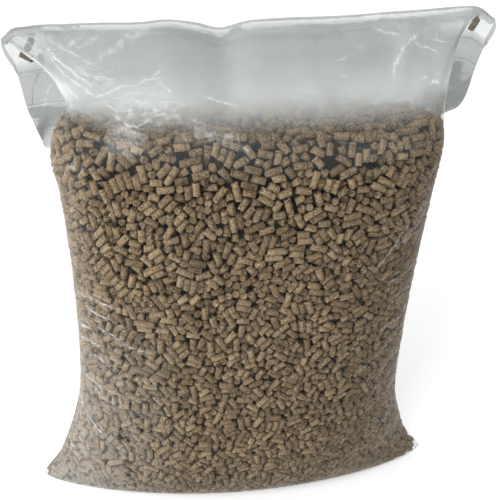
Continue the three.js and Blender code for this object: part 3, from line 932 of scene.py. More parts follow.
@dataclass(frozen=True)
class FilmFinish:
    """How the clear film looks.

    Attributes:
        pass_color: What is left of light that goes straight through one sheet.
        body_color: Color of the milky share of the film in full light.
        shade_color: Painted shade: the color the film is painted where it is to look turned away from the
            light.
        streak_color: Color of the white creases, whitened film with a painted glint.
        dark_color: Color of the painted shade in the dark creases.
        tight_gloss: How much of the gloss stays where the film lies on pellets.
        shadow_share: How much of the milky share counts for light that falls in through the film.
        densest: Largest share of light that the film stops.
        bend: Refractive index of the film.
        roughness: Roughness of its gloss.
        crease_milk: How milky a white crease is, with its painted glint.
        crease_shade: How much the painted shade of a dark crease hides.
        crumple_milk: How milky a crumple's ridge is.
        glow: Strength of the soft painted sheen beside a crease.
        channels: How many sets of creases the film carries.
    """

    name: str = "clear_polythene"
    pass_color: Color = (0.94, 0.95, 0.945, 1.0)
    body_color: Color = (0.70, 0.73, 0.72, 1.0)
    shade_color: Color = (0.34, 0.36, 0.36, 1.0)
    streak_color: Color = (0.90, 0.92, 0.92, 1.0)
    dark_color: Color = (0.16, 0.17, 0.17, 1.0)
    tight_gloss: float = 0.4
    shadow_share: float = 0.25
    densest: float = 0.92
    bend: float = 1.45
    roughness: float = 0.16
    crease_milk: float = 0.5
    crease_shade: float = 0.3
    crumple_milk: float = 0.28
    glow: float = 0.10
    channels: int = 4

    def build(self) -> bpy.types.Material:
        """Returns the film's material."""
        material = bpy.data.materials.new(self.name)
        material.use_nodes = True
        tree = material.node_tree
        graph = Graph(tree)
        surface = tree.nodes["Principled BSDF"]
        place = graph.add("TexCoord").outputs["Object"]
        stored = ("contact", "crumple", "haze", "light")
        contact, crumple, haze, light = (graph.value(name) for name in stored)
        wide = graph.noise(place, 22.0, 3.0, 0.55)
        ridges, folds = self._crumples(graph, place)
        milk, shade = self._creases(graph, place)
        level = graph.math("MULTIPLY_ADD", ridges, -2.2, graph.math("MULTIPLY", folds, -1.8))
        level = graph.math("MULTIPLY", level, graph.math("MULTIPLY_ADD", crumple, 1.0, 0.05))
        level = graph.math("MULTIPLY_ADD", wide, 0.18, level)
        level = graph.math("MULTIPLY_ADD", graph.math("ADD", milk, shade), 0.35, level)
        bump = graph.add("Bump", {"Strength": 0.6, "Distance": 0.0015, "Height": level}).outputs[0]
        # The haze attribute carries the film's milkiness and the painted sheen on the body's left side.
        cloud = graph.math("MULTIPLY", haze, graph.band(wide, 0.3, 0.7, 0.95, 1.05))
        sharp = graph.math("MAXIMUM", graph.band(ridges, 0.0, 0.022, 1.0, 0.0),
                           graph.band(folds, 0.0, 0.018, 1.0, 0.0))
        lines = graph.math("MULTIPLY", sharp, graph.band(crumple, 0.25, 0.9))
        cloud = graph.math("MULTIPLY_ADD", lines, self.crumple_milk, cloud)
        cloud = graph.math("MULTIPLY_ADD", shade, self.crease_shade, cloud)
        cloud = graph.math("MULTIPLY_ADD", milk, self.crease_milk, cloud)
        rim = graph.add("LayerWeight", {"Blend": 0.22, "Normal": bump}).outputs["Facing"]
        free = graph.band(contact, 0.0, 1.0, 1.0, 0.0)
        loose = graph.math("MULTIPLY_ADD", free, 0.3, 0.03)
        edge = graph.math("MULTIPLY", graph.math("POWER", rim, 3.0), loose)
        cloud = graph.math("ADD", cloud, edge)
        gloss = graph.add("Fresnel", {"IOR": self.bend, "Normal": bump}).outputs[0]
        gloss = graph.math("MULTIPLY", gloss, graph.band(contact, 0.0, 1.0, 1.0, self.tight_gloss))
        both = graph.math("ADD", cloud, gloss)
        falls_in = graph.add("LightPath").outputs["Is Shadow Ray"]
        share = graph.math("MULTIPLY", graph.math("MINIMUM", both, self.densest),
                           graph.band(falls_in, 0.0, 1.0, 1.0, self.shadow_share))
        # Painted light and shade: the light attribute blends the film from its painted shade color to its
        # lit color; white creases add a painted glint and dark creases painted shade.
        color = graph.blend(light, self.shade_color, self.body_color)
        color = graph.blend(milk, color, self.streak_color)
        color = graph.blend(graph.math("MULTIPLY", shade, 0.8), color, self.dark_color)
        tree.links.new(color, surface.inputs["Base Color"])
        surface.inputs["Roughness"].default_value = self.roughness
        tree.links.new(graph.math("DIVIDE", gloss, both), surface.inputs["Metallic"])
        tree.links.new(bump, surface.inputs["Normal"])
        clear = graph.add("BsdfTransparent", {"Color": self.pass_color})
        mixed = graph.add("MixShader", {0: share, 1: clear.outputs[0], 2: surface.outputs[0]})
        tree.links.new(mixed.outputs[0], tree.nodes["Material Output"].inputs["Surface"])
        return material

    @staticmethod
    def _crumples(graph: Graph, place: object) -> Tuple[bpy.types.NodeSocket, bpy.types.NodeSocket]:
        """Draws two sets of crumples that cross, and returns how far places are from their ridges."""
        steep = graph.stretch(place, (55.0, 55.0, 26.0), (0.0, 0.7, 0.0))
        flat = graph.stretch(place, (24.0, 60.0, 70.0), (0.0, -0.45, 0.0))
        one, two = (graph.math("ABSOLUTE", graph.math("SUBTRACT", graph.noise(bent, 1.0), 0.5))
                    for bent in (steep, flat))
        return one, two

    def _creases(self, graph: Graph, place: object) -> Tuple[bpy.types.NodeSocket, bpy.types.NodeSocket]:
        """Draws the narrow creases.

        Args:
            graph: The material's nodes.
            place: Where the film is looked up.

        Returns:
            How white the creases make the film, whitening with a painted glint, and how dark, a painted
            shade.
        """
        wobble = graph.math("MULTIPLY_ADD", graph.noise(place, 170.0, 3.0), 3.2, -1.6)
        broken = graph.band(graph.noise(place, 150.0, 2.0), 0.35, 0.62, 0.25, 1.0)
        milk: object = 0.0
        shade: object = 0.0
        for number in range(self.channels):
            parts = graph.add("SeparateXYZ", {0: graph.vector(f"creases_{number + 1}")}).outputs
            away = graph.math("ABSOLUTE", graph.math("ADD", parts[0], wobble))
            line = graph.math("MULTIPLY", graph.band(away, 0.0, 1.0, 1.0, 0.0), broken)
            # A soft painted sheen beside the line.
            line = graph.math("MULTIPLY_ADD", graph.band(away, 0.0, 3.5, 1.0, 0.0), self.glow, line)
            milk = graph.math("MAXIMUM", milk, graph.math("MULTIPLY", line, parts[1]))
            shade = graph.math("MAXIMUM", shade, graph.math("MULTIPLY", line, parts[2]))
        return milk, shade


@dataclass(frozen=True)
class PelletShape:
    """One pellet as a mesh that is copied: a short rod with broken ends.

    Attributes:
        sides: Corners round the rod.
        broken: Whether its ends are chamfered and ragged.
        dish: How far out the middle of a broken end lies, where its rim is at 1.
        rim: Width of a broken end's rim, where the rod's is 1.
        chamfer: Where the rod's full width ends, where the rim is at 1.
        end_scale: Millimetres along the rod for 1 in those places.
        width_spread: Spread of the pellets' widths, as a share.
        bump_spread: Spread of their corners' distances from the middle line, as a share.
        lean_spread: Spread of the lean of their ends.
        end_lean: Share of that lean that the end takes.
        side_lean: Share of it that the corners beside the end take.
        ragged: Spread of the end's corners along the rod, in millimetres.
        tone_spread: Spread of the pellets' tones.
        texture_room: Millimetres of the wood's texture that pellets take their place from.
    """

    sides: int
    broken: bool
    dish: float = 0.88
    rim: float = 0.85
    chamfer: float = 0.9
    end_scale: float = 6.0
    width_spread: float = 0.025
    bump_spread: float = 0.03
    lean_spread: float = 0.5
    end_lean: float = 0.28
    side_lean: float = 0.16
    ragged: float = 0.32
    tone_spread: float = 0.6
    texture_room: float = 90.0

    def template(self) -> Tuple[np.ndarray, np.ndarray, np.ndarray]:
        """Returns unit corners (x, y, end from -1 to 1), the faces' corners and their counts."""
        angles = 2 * math.pi * np.arange(self.sides) / self.sides
        ring = np.stack([np.cos(angles), np.sin(angles)], 1)
        rows = ((-1.0, 1.0), (1.0, 1.0))
        if self.broken:
            rows = ((-1.0, self.rim), (-self.chamfer, 1.0), (self.chamfer, 1.0), (1.0, self.rim))
        places = [np.column_stack([ring * wide, np.full(self.sides, at)]) for at, wide in rows]
        loops: List[List[int]] = []
        for row in range(len(rows) - 1):
            for i in range(self.sides):
                j = (i + 1) % self.sides
                a, b = row * self.sides, (row + 1) * self.sides
                loops.append([a + i, a + j, b + j, b + i])
        last = (len(rows) - 1) * self.sides
        if self.broken:
            places.append(np.array([[0.0, 0.0, -self.dish], [0.0, 0.0, self.dish]]))
            low, high = last + self.sides, last + self.sides + 1
            for i in range(self.sides):
                j = (i + 1) % self.sides
                loops.append([low, j, i])
                loops.append([high, last + i, last + j])
        else:
            loops.append(list(range(self.sides))[::-1])
            loops.append([last + i for i in range(self.sides)])
        counts = np.array([len(face) for face in loops])
        return np.concatenate(places), np.array([i for face in loops for i in face]), counts

    def copies(self, centres: np.ndarray, axes: np.ndarray, lengths: np.ndarray, radius: float,
               random: np.random.Generator) -> Tuple[np.ndarray, ...]:
        """Places many pellets.

        Args:
            centres: Middle of each pellet.
            axes: Direction of each pellet.
            lengths: Length of each pellet.
            radius: Their radius.
            random: The source of the small differences.

        Returns:
            Corners, face corners, face counts, places along the strands and the tone of each corner.
        """
        unit, loops, faces = self.template()
        count, corners = len(centres), len(unit)
        upright = np.abs(axes[:, 2:3]) >= 0.8
        first = np.cross(axes, np.where(upright, np.array([[1.0, 0.0, 0.0]]), np.array([[0.0, 0.0, 1.0]])))
        first /= np.linalg.norm(first, axis=1)[:, None]
        second = np.cross(axes, first)
        wide = radius * (1 + self.width_spread * random.standard_normal((count, 1)))
        flat = np.repeat(unit[None], count, 0)
        if self.broken:
            flat[:, :, :2] *= 1 + self.bump_spread * random.standard_normal((count, corners, 1))
            lean = self.lean_spread * random.standard_normal((count, 2, 2))
        x = flat[:, :, 0] * wide
        y = flat[:, :, 1] * wide
        reach = lengths[:, None] / 2
        end = np.sign(flat[:, :, 2]) * (reach - (1 - np.abs(flat[:, :, 2])) * self.end_scale)
        if self.broken:
            cap = np.hypot(unit[:, 0], unit[:, 1]) < 0.95
            side = (unit[:, 2] > 0).astype(int)
            slant = lean[:, side, 0] * x + lean[:, side, 1] * y
            ragged = self.ragged * random.standard_normal((count, corners))
            end = end + np.where(cap, self.end_lean * slant + ragged, self.side_lean * slant)
        places = (centres[:, None] + first[:, None] * x[..., None] + second[:, None] * y[..., None]
                  + axes[:, None] * end[..., None])
        strands = np.stack([x, y, end], 2) + random.random((count, 1, 3)) * self.texture_room
        tone = np.repeat(np.clip(self.tone_spread * random.standard_normal(count), -1, 1), corners)
        loops = (np.arange(count)[:, None] * corners + loops[None]).ravel()
        return places.reshape(-1, 3), loops, np.tile(faces, count), strands.reshape(-1, 3), tone


@dataclass
class Heap:
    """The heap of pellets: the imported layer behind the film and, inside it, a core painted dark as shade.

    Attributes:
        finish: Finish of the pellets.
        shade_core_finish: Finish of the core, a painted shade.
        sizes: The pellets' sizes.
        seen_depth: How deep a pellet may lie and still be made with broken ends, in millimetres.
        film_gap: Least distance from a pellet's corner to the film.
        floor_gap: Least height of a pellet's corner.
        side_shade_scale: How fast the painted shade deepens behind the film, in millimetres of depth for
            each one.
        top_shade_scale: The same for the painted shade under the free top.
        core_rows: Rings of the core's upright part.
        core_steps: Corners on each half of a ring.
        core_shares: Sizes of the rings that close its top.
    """

    form: BagForm
    placement: Placement
    finish: PelletFinish
    shade_core_finish: PelletFinish
    sizes: PelletSizes = field(default_factory=PelletSizes)
    seen_depth: float = 8.0
    film_gap: float = 0.35
    floor_gap: float = 0.2
    side_shade_scale: float = 1.38
    top_shade_scale: float = 2.2
    core_rows: int = 30
    core_steps: int = 40
    core_shares: Tuple[float, ...] = (0.8, 0.5, 0.2)
    pieces: List[bpy.types.Object] = field(default_factory=list)
    fill: PelletFill = field(init=False)

    def build(self) -> None:
        """Packs the pellets and makes their meshes."""
        self.fill = PelletFill(self.form, self.sizes)
        self.fill.scatter()
        self.fill.settle()
        material = self.finish.build()
        near = self._near()
        back = self.fill.centres[:, 1] > 0
        left = self.fill.centres[:, 0] < 0
        groups = (("pellets_front_left", near & ~back & left, True),
                  ("pellets_front_right", near & ~back & ~left, True),
                  ("pellets_back_left", near & back & left, True),
                  ("pellets_back_right", near & back & ~left, True), ("pellets_behind", ~near, False))
        for number, (name, chosen, seen) in enumerate(groups):
            made = self._mesh(name, chosen, seen, number)
            made.data.materials.append(material)
            self.pieces.append(made)
        self.pieces.append(self._core())
        for piece in self.pieces:
            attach(piece, "root")
            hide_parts("pellet_heap")

    def _near(self) -> np.ndarray:
        """Tells for each pellet whether it lies where it can be seen."""
        fill = self.fill
        least = np.full(len(fill.centres), FAR)
        for share in (-1, 0, 1):
            places = fill.centres + share * fill.axes * fill.halves[:, None]
            inside, _ = fill.wall(places, 0.0)
            top = fill.mound(places[:, 0], places[:, 1]) - places[:, 2]
            least = np.minimum(least, np.minimum(inside, top))
        return least < self.seen_depth

    def _mesh(self, name: str, chosen: np.ndarray, seen: bool, number: int) -> bpy.types.Object:
        """Makes the mesh of a part of the pellets.

        Args:
            name: Name of the mesh.
            chosen: Whether each pellet is in it.
            seen: Whether they can be seen, and so have broken ends.
            number: Number of the part, which starts its random draws.

        Returns:
            The new object.
        """
        fill = self.fill
        shape = PelletShape(sides=12, broken=True) if seen else PelletShape(sides=8, broken=False)
        random = np.random.default_rng(40 + number)
        lengths = 2 * (fill.halves[chosen] + self.sizes.end_share * self.sizes.diameter / 2)
        places, loops, counts, strands, tone = shape.copies(
            fill.centres[chosen], fill.axes[chosen], lengths, self.sizes.radius, random)
        places[:, 2] = np.maximum(places[:, 2], self.floor_gap)
        inside, inward = fill.wall(places, 0.0)
        places += inward * np.clip(self.film_gap - inside, 0, 5)[:, None]
        inside, _ = fill.wall(places, 0.0)
        over = fill.mound(places[:, 0], places[:, 1]) - places[:, 2]
        made = MeshMaker.build(name, self.placement.metres(places), loops, counts)
        # Painted shade: the depth attribute makes pellets darker the deeper they lie behind the film or
        # under the free top.
        MeshMaker.attribute(made, "depth", np.minimum(inside * self.side_shade_scale, over * self.top_shade_scale))
        MeshMaker.attribute(made, "strand", strands)
        MeshMaker.attribute(made, "tone", tone)
        if seen:
            MeshMaker.smooth(made, counts == 4)
        LOG.info("%s: %d pellets, %d faces", name, int(chosen.sum()), len(counts))
        return made

    def _core(self) -> bpy.types.Object:
        """Makes the inside of the heap, painted dark as a stand-in for its shade."""
        inset = self.sizes.layer + 1.0
        steps, count = self.core_steps, 2 * self.core_steps
        across = np.cos(math.pi * np.arange(steps) / steps)
        rows: List[np.ndarray] = []
        for height in np.linspace(inset, self.form.heap - 2.0 * inset, self.core_rows):
            run = np.full(steps, height)
            front = self.form.points(run, across, Side.FRONT, inset)
            back = self.form.points(run, -across, Side.BACK, inset)
            rows.append(np.concatenate([front, back]))
        widest = rows[-1]
        middle = widest.mean(0)
        for share in self.core_shares:
            ring = middle + (widest - middle) * share
            ring[:, 2] = self.fill.mound(ring[:, 0], ring[:, 1]) - inset
            rows.append(ring)
        places = np.concatenate(rows)
        quads = MeshMaker.ring_faces(len(rows), count)
        loops = np.concatenate([quads.ravel(), np.arange(count), len(places) - 1 - np.arange(count)])
        counts = np.append(np.full(len(quads), 4), [count, count])
        made = MeshMaker.build("heap_core", self.placement.metres(places), loops, counts)
        MeshMaker.attribute(made, "strand", places)
        MeshMaker.attribute(made, "tone", np.zeros(len(places)))
        made.data.materials.append(self.shade_core_finish.build())
        return made


@dataclass(frozen=True)
class FilmLines:
    """The narrow creases of the front sheet and the flap, and the broad bands of haze and painted shade
    between them.

    Attributes:
        broad: Broad bands of haze and of painted shade in the empty top.
        flap: Creases at the flap's left edge.
        fold_left: Creases below the left half of the fold.
        fold_right: Creases below the right half of the fold.
        fill_edge: Creases along the top of the pellets.
        left_edge: Creases down the left side of the filled body.
        right_edge: Creases down its right side.
        broad_from: Half the width in millimetres from which a line counts as broad.
        far_apart: Millimetres past which two creases don't disturb each other.
    """

    broad: Tuple[Streak, ...] = (
        Streak(((-172, 490), (-140, 480), (-110, 474), (-72, 474)), 0.09, 0.0, 9.0),
        Streak(((-194, 496), (-172, 488)), 0.0, 0.24, 4.5),
        Streak(((-182, 490), (-169, 476)), 0.0, 0.16, 4.5),
        Streak(((-118, 463), (-100, 460), (-82, 461), (-64, 459)), 0.4, 0.0, 5.5),
        Streak(((-60, 457), (-45, 452), (-28, 449), (-16, 443)), 0.42, 0.0, 5.0),
        Streak(((199, 494), (160, 494), (124, 497)), 0.1, 0.0, 5.0))
    flap: Tuple[Streak, ...] = (
        Streak(((-183, 564), (-191, 578), (-195, 606)), 0.0, 0.4, 0.9),
        Streak(((-175, 579), (-180, 594), (-184, 608)), 0.5, 0.0, 2.0))
    fold_left: Tuple[Streak, ...] = (
        Streak(((-199, 497), (-173, 487)), 0.45),
        Streak(((-176, 493), (-162, 485), (-136, 474)), 0.6, 0.0, 1.2),
        Streak(((-182, 496), (-155, 490), (-133, 484)), 0.4),
        Streak(((-160, 483), (-140, 480), (-116, 478)), 0.35),
        Streak(((-171, 488), (-159, 479), (-134, 469)), 0.5),
        Streak(((-206, 498), (-169, 472), (-157, 451)), 0.0, 0.6),
        Streak(((-172, 487), (-166, 470), (-155, 451)), 0.0, 0.45, 0.8),
        Streak(((-163, 488), (-141, 478), (-124, 474)), 0.0, 0.3, 0.8),
        Streak(((-152, 484), (-128, 477)), 0.35, 0.0, 0.8),
        Streak(((-160, 474), (-146, 465)), 0.35, 0.0, 0.8),
        Streak(((-131, 487), (-109, 493), (-87, 496)), 0.3, 0.0, 2.0),
        Streak(((-149, 491), (-130, 494)), 0.35),
        Streak(((-157, 491), (-142, 495)), 0.35),
        Streak(((-134, 469), (-123, 471), (-112, 475), (-101, 475), (-92, 478), (-82, 478)), 0.5, 0.0, 0.8),
        Streak(((-133, 467), (-122, 469), (-111, 473), (-101, 473)), 0.0, 0.3, 0.8),
        Streak(((-90, 474), (-77, 475), (-71, 471)), 0.45, 0.0, 0.8),
        Streak(((-87, 479), (-79, 482)), 0.4, 0.0, 0.8),
        Streak(((-127, 466), (-112, 462), (-98, 464)), 0.4, 0.0, 0.9),
        Streak(((-104, 468), (-86, 466)), 0.35, 0.0, 0.8))
    fold_right: Tuple[Streak, ...] = (
        Streak(((124, 495), (131, 496), (152, 495), (161, 492), (172, 489), (190, 491)), 0.0, 0.25),
        Streak(((147, 491), (133, 488), (122, 480), (117, 474)), 0.6, 0.0, 1.6),
        Streak(((142, 488), (151, 486), (162, 483)), 0.5, 0.0, 0.9),
        Streak(((157, 489), (173, 486)), 0.4, 0.0, 0.8),
        Streak(((136, 494), (139, 490)), 0.35),
        Streak(((106, 494), (122, 492), (130, 491)), 0.35, 0.0, 0.8),
        Streak(((71, 484), (82, 485)), 0.35, 0.0, 0.8),
        Streak(((90, 488), (96, 488)), 0.35, 0.0, 0.8),
        Streak(((74, 477), (77, 477)), 0.6, 0.0, 0.9),
        Streak(((199, 495), (180, 477), (165, 463)), 0.7, 0.0, 0.8),
        Streak(((195, 497), (176, 480), (161, 465)), 0.0, 0.35, 1.5))
    fill_edge: Tuple[Streak, ...] = (
        Streak(((-52, 454), (-49, 451), (-42, 453), (-31, 451), (-24, 449)), 0.7, 0.0, 1.8),
        Streak(((-20, 445), (-12, 441)), 0.9, 0.0, 2.2),
        Streak(((-45, 470), (-37, 469), (-29, 468), (-17, 466)), 0.5, 0.0, 0.9),
        Streak(((-81, 475), (-71, 471)), 0.4, 0.0, 0.9),
        Streak(((-70, 463), (-61, 458), (-53, 456)), 0.0, 0.4, 1.3),
        Streak(((-120, 461), (-108, 456), (-101, 456), (-87, 460), (-75, 462)), 0.7, 0.0, 1.4),
        Streak(((-117, 462), (-106, 458), (-99, 458), (-87, 461), (-77, 463)), 0.0, 0.4, 1.2),
        Streak(((-73, 453), (-68, 451), (-59, 448)), 0.5, 0.0, 1.2))
    left_edge: Tuple[Streak, ...] = (
        Streak(((-162, 238), (-153, 246), (-149, 248)), 0.96, 0.0, 1.7),
        Streak(((-163, 221), (-152, 231), (-146, 231), (-139, 234)), 1.0, 0.0, 1.7),
        Streak(((-143, 255), (-128, 252), (-117, 244), (-100, 242)), 0.72, 0.0, 1.7),
        Streak(((-161, 177), (-152, 179), (-132, 179), (-115, 177)), 0.8, 0.0, 1.4),
        Streak(((-157, 172), (-149, 170), (-143, 164), (-132, 162)), 0.88, 0.0, 1.4),
        Streak(((-168, 134), (-164, 126), (-158, 120), (-150, 114), (-137, 107)), 1.0, 0.0, 1.7),
        Streak(((-183, 66), (-176, 61), (-174, 53)), 0.8, 0.0, 1.4),
        Streak(((-176, 84), (-171, 82), (-167, 78)), 0.8, 0.0, 1.4),
        Streak(((-157, 214), (-143, 217), (-135, 210)), 0.56, 0.0, 1.4),
        Streak(((-161, 280), (-152, 284), (-144, 289), (-136, 286), (-127, 286)), 0.96, 0.0, 1.7),
        Streak(((-153, 273), (-146, 271), (-133, 271)), 0.96, 0.0, 1.6))
    right_edge: Tuple[Streak, ...] = (
        Streak(((160, 415), (152, 404), (143, 396)), 0.56, 0.0, 1.2),
        Streak(((159, 381), (148, 372), (138, 364), (128, 351), (119, 337), (105, 320)), 0.72, 0.0, 1.2),
        Streak(((156, 375), (153, 362), (147, 356), (133, 345), (122, 339)), 0.64, 0.0, 1.2),
        Streak(((160, 345), (141, 347), (131, 343)), 0.56, 0.0, 1.2),
        Streak(((158, 306), (141, 303), (124, 301)), 0.64, 0.0, 1.2),
        Streak(((162, 275), (142, 282), (130, 278)), 0.64, 0.0, 1.2),
        Streak(((160, 258), (145, 246), (131, 248), (120, 244)), 0.64, 0.0, 1.2),
        Streak(((158, 234), (142, 227), (128, 217), (116, 208), (107, 200)), 0.72, 0.0, 1.2),
        Streak(((164, 191), (144, 196), (132, 187), (121, 183)), 0.64, 0.0, 1.3),
        Streak(((160, 175), (142, 170), (128, 164), (119, 149), (114, 145)), 0.72, 0.0, 1.2),
        Streak(((162, 160), (149, 147), (133, 141), (119, 135)), 0.64, 0.0, 1.2),
        Streak(((166, 113), (149, 101), (139, 84)), 0.64, 0.0, 1.2),
        Streak(((178, 76), (162, 71), (150, 61), (137, 57)), 0.72, 0.0, 1.2),
        Streak(((164, 89), (157, 71), (143, 61)), 0.64, 0.0, 1.2))
    broad_from: float = 4.0
    far_apart: float = 20.0

    def _sets(self, count: int) -> List[List[Streak]]:
        """Shares the lines out, so that close ones are in different sets and broad ones in the last."""
        sets: List[List[Streak]] = [[] for _ in range(count)]
        for streak in (*self.broad, *self.flap, *self.fold_left, *self.fold_right, *self.fill_edge,
                       *self.left_edge, *self.right_edge):
            if streak.width >= self.broad_from:
                sets[-1].append(streak)
                continue
            free = [min((other.clearance(streak) for other in group), default=FAR) for group in sets[:-1]]
            sets[int(np.argmax(np.minimum(free, self.far_apart)))].append(streak)
        return sets

    def measure(self, x: np.ndarray, run: np.ndarray, count: int) -> np.ndarray:
        """Works out the lines for the film's material.

        Args:
            x: Distance to the right of each corner of the film.
            run: Run of each along the carrier.
            count: How many sets the lines are shared out to.

        Returns:
            For each set and corner: the distance to the nearest line as a share of its width, how
            white and how dark it is.
        """
        made = np.zeros((count, len(x), 3))
        for values, group in zip(made, self._sets(count)):
            nearest = np.full(len(x), FAR)
            for streak in group:
                away, strength = streak.measure(x, run)
                closer = np.abs(away) < nearest
                nearest = np.where(closer, np.abs(away), nearest)
                found = np.stack([away / streak.width, strength * streak.milk, strength * streak.shade], 1)
                values[closer] = found[closer]
        return made


@dataclass(frozen=True)
class FilmTones:
    """How milky the film is, and how much light and shade is painted on it, from place to place.

    Milk goes from 0 for clear film to 1 for white film, and the painted light from 0 for painted
    shade to 1. Places are in millimetres: runs are counted from the fold where a name ends in span,
    and a pair says where something starts and where it is full.

    Attributes:
        free_gap: Distances to the pellets where the film comes free of them.
        touch_gap: The same for the painted highlights where the film is pressed to them.
        flap_span: Where the flap's tones take over.
        fogs: Milk of each fog in the empty top and its span.
        back_milk: Milk of the back sheet where it is free.
        flap_milk: Milk of the flap.
        seam_half: Half the width of a seal line's tone.
        seam_milk: Milk of the seal lines.
        pocket_reach: Distances from the middle where the flap's clear corners lie.
        pocket_span: Where they end on the flap.
        pocket_clear: How much clearer they are.
        front_clear: How much clearer the front sheet is before them.
        front_span: Where that starts.
        side_sheen: Painted sheen on the body's left side, where the light falls from the left.
        side_reach: Distances to the left where it lies.
        side_runs: Runs from the bottom at which it ends.
        corner_sheen: Painted sheen on the lower left of the body.
        touch_sheen: Painted highlights there besides, where the film is pressed to pellets.
        corner_reach: Distances to the left where it lies.
        corner_runs: Runs from the bottom at which it ends.
        crest_shade: Painted shade: how much darker the fold is painted.
        crest_span: Where that starts.
        flap_painted_light: Painted light on the flap.
        seam_painted_highlight: Painted highlight on its seal lines besides.
    """

    free_gap: Span = (2.5, 13.0)
    touch_gap: Span = (0.4, 2.0)
    flap_span: Span = (6.0, 26.0)
    fogs: Tuple[Tuple[float, Span], ...] = ((0.70, (-50.0, -27.0)), (0.05, (-85.0, -55.0)))
    back_milk: float = 0.34
    flap_milk: float = 0.5
    seam_half: float = 0.7
    seam_milk: float = 0.35
    pocket_reach: Span = (160.0, 185.0)
    pocket_span: Span = (44.0, 52.0)
    pocket_clear: float = 0.8
    front_clear: float = 0.45
    front_span: Span = (-30.0, -12.0)
    side_sheen: float = 0.06
    side_reach: Span = (130.0, 165.0)
    side_runs: Span = (400.0, 450.0)
    corner_sheen: float = 0.02
    touch_sheen: float = 0.19
    corner_reach: Span = (45.0, 150.0)
    corner_runs: Span = (190.0, 330.0)
    crest_shade: float = 0.75
    crest_span: Span = (-38.0, -6.0)
    flap_painted_light: float = 0.3
    seam_painted_highlight: float = 0.7

    def measure(self, form: BagForm, run: np.ndarray, across: np.ndarray, is_front: np.ndarray,
                gap: np.ndarray) -> Tuple[Tuple[str, np.ndarray], ...]:
        """Works out the tones at the film's corners.

        Args:
            form: The film's form.
            run: Run of each corner of the film.
            across: Its share of the way from the middle to the edge.
            is_front: Whether it is on the front sheet.
            gap: How far it is from the pellets.

        Returns:
            The names and values of the vertex attributes.
        """
        contact = 1 - smoothstep(gap, *self.free_gap)
        x, carrier = form.on_sheet(run, across)
        flap = form.past_fold(run, self.flap_span)
        seam = form.seams(run, self.seam_half)
        fog = sum(milk * form.past_fold(carrier, span) for milk, span in self.fogs)
        haze = np.where(is_front, fog, self.back_milk * (1 - contact)) * (1 - flap) + self.flap_milk * flap
        pocket = smoothstep(np.abs(x), *self.pocket_reach) * (1 - form.past_fold(run, self.pocket_span))
        before = self.front_clear * form.past_fold(carrier, self.front_span)
        haze = haze * (1 - pocket * np.where(flap > 0.3, self.pocket_clear, before))
        haze = haze + self.seam_milk * seam
        # Painted sheen: the left side and the lower left are painted milkier where light falls from the
        # left, most where the film is pressed to pellets.
        side = self.side_sheen * smoothstep(-x, *self.side_reach) * (1 - smoothstep(run, *self.side_runs))
        haze = haze + side * is_front
        touch = 1 - smoothstep(gap, *self.touch_gap)
        corner = smoothstep(-x, *self.corner_reach) * (1 - smoothstep(run, *self.corner_runs)) * is_front
        haze = haze + (self.corner_sheen + self.touch_sheen * touch) * corner
        # Painted light and shade: the fold is painted darker, the flap dimmer and its seal lines brighter.
        crest = 1 - self.crest_shade * form.past_fold(carrier, self.crest_span)
        light = crest * (1 - flap) + flap * (self.flap_painted_light + self.seam_painted_highlight * seam)
        return ("haze", haze), ("light", light), ("contact", contact)


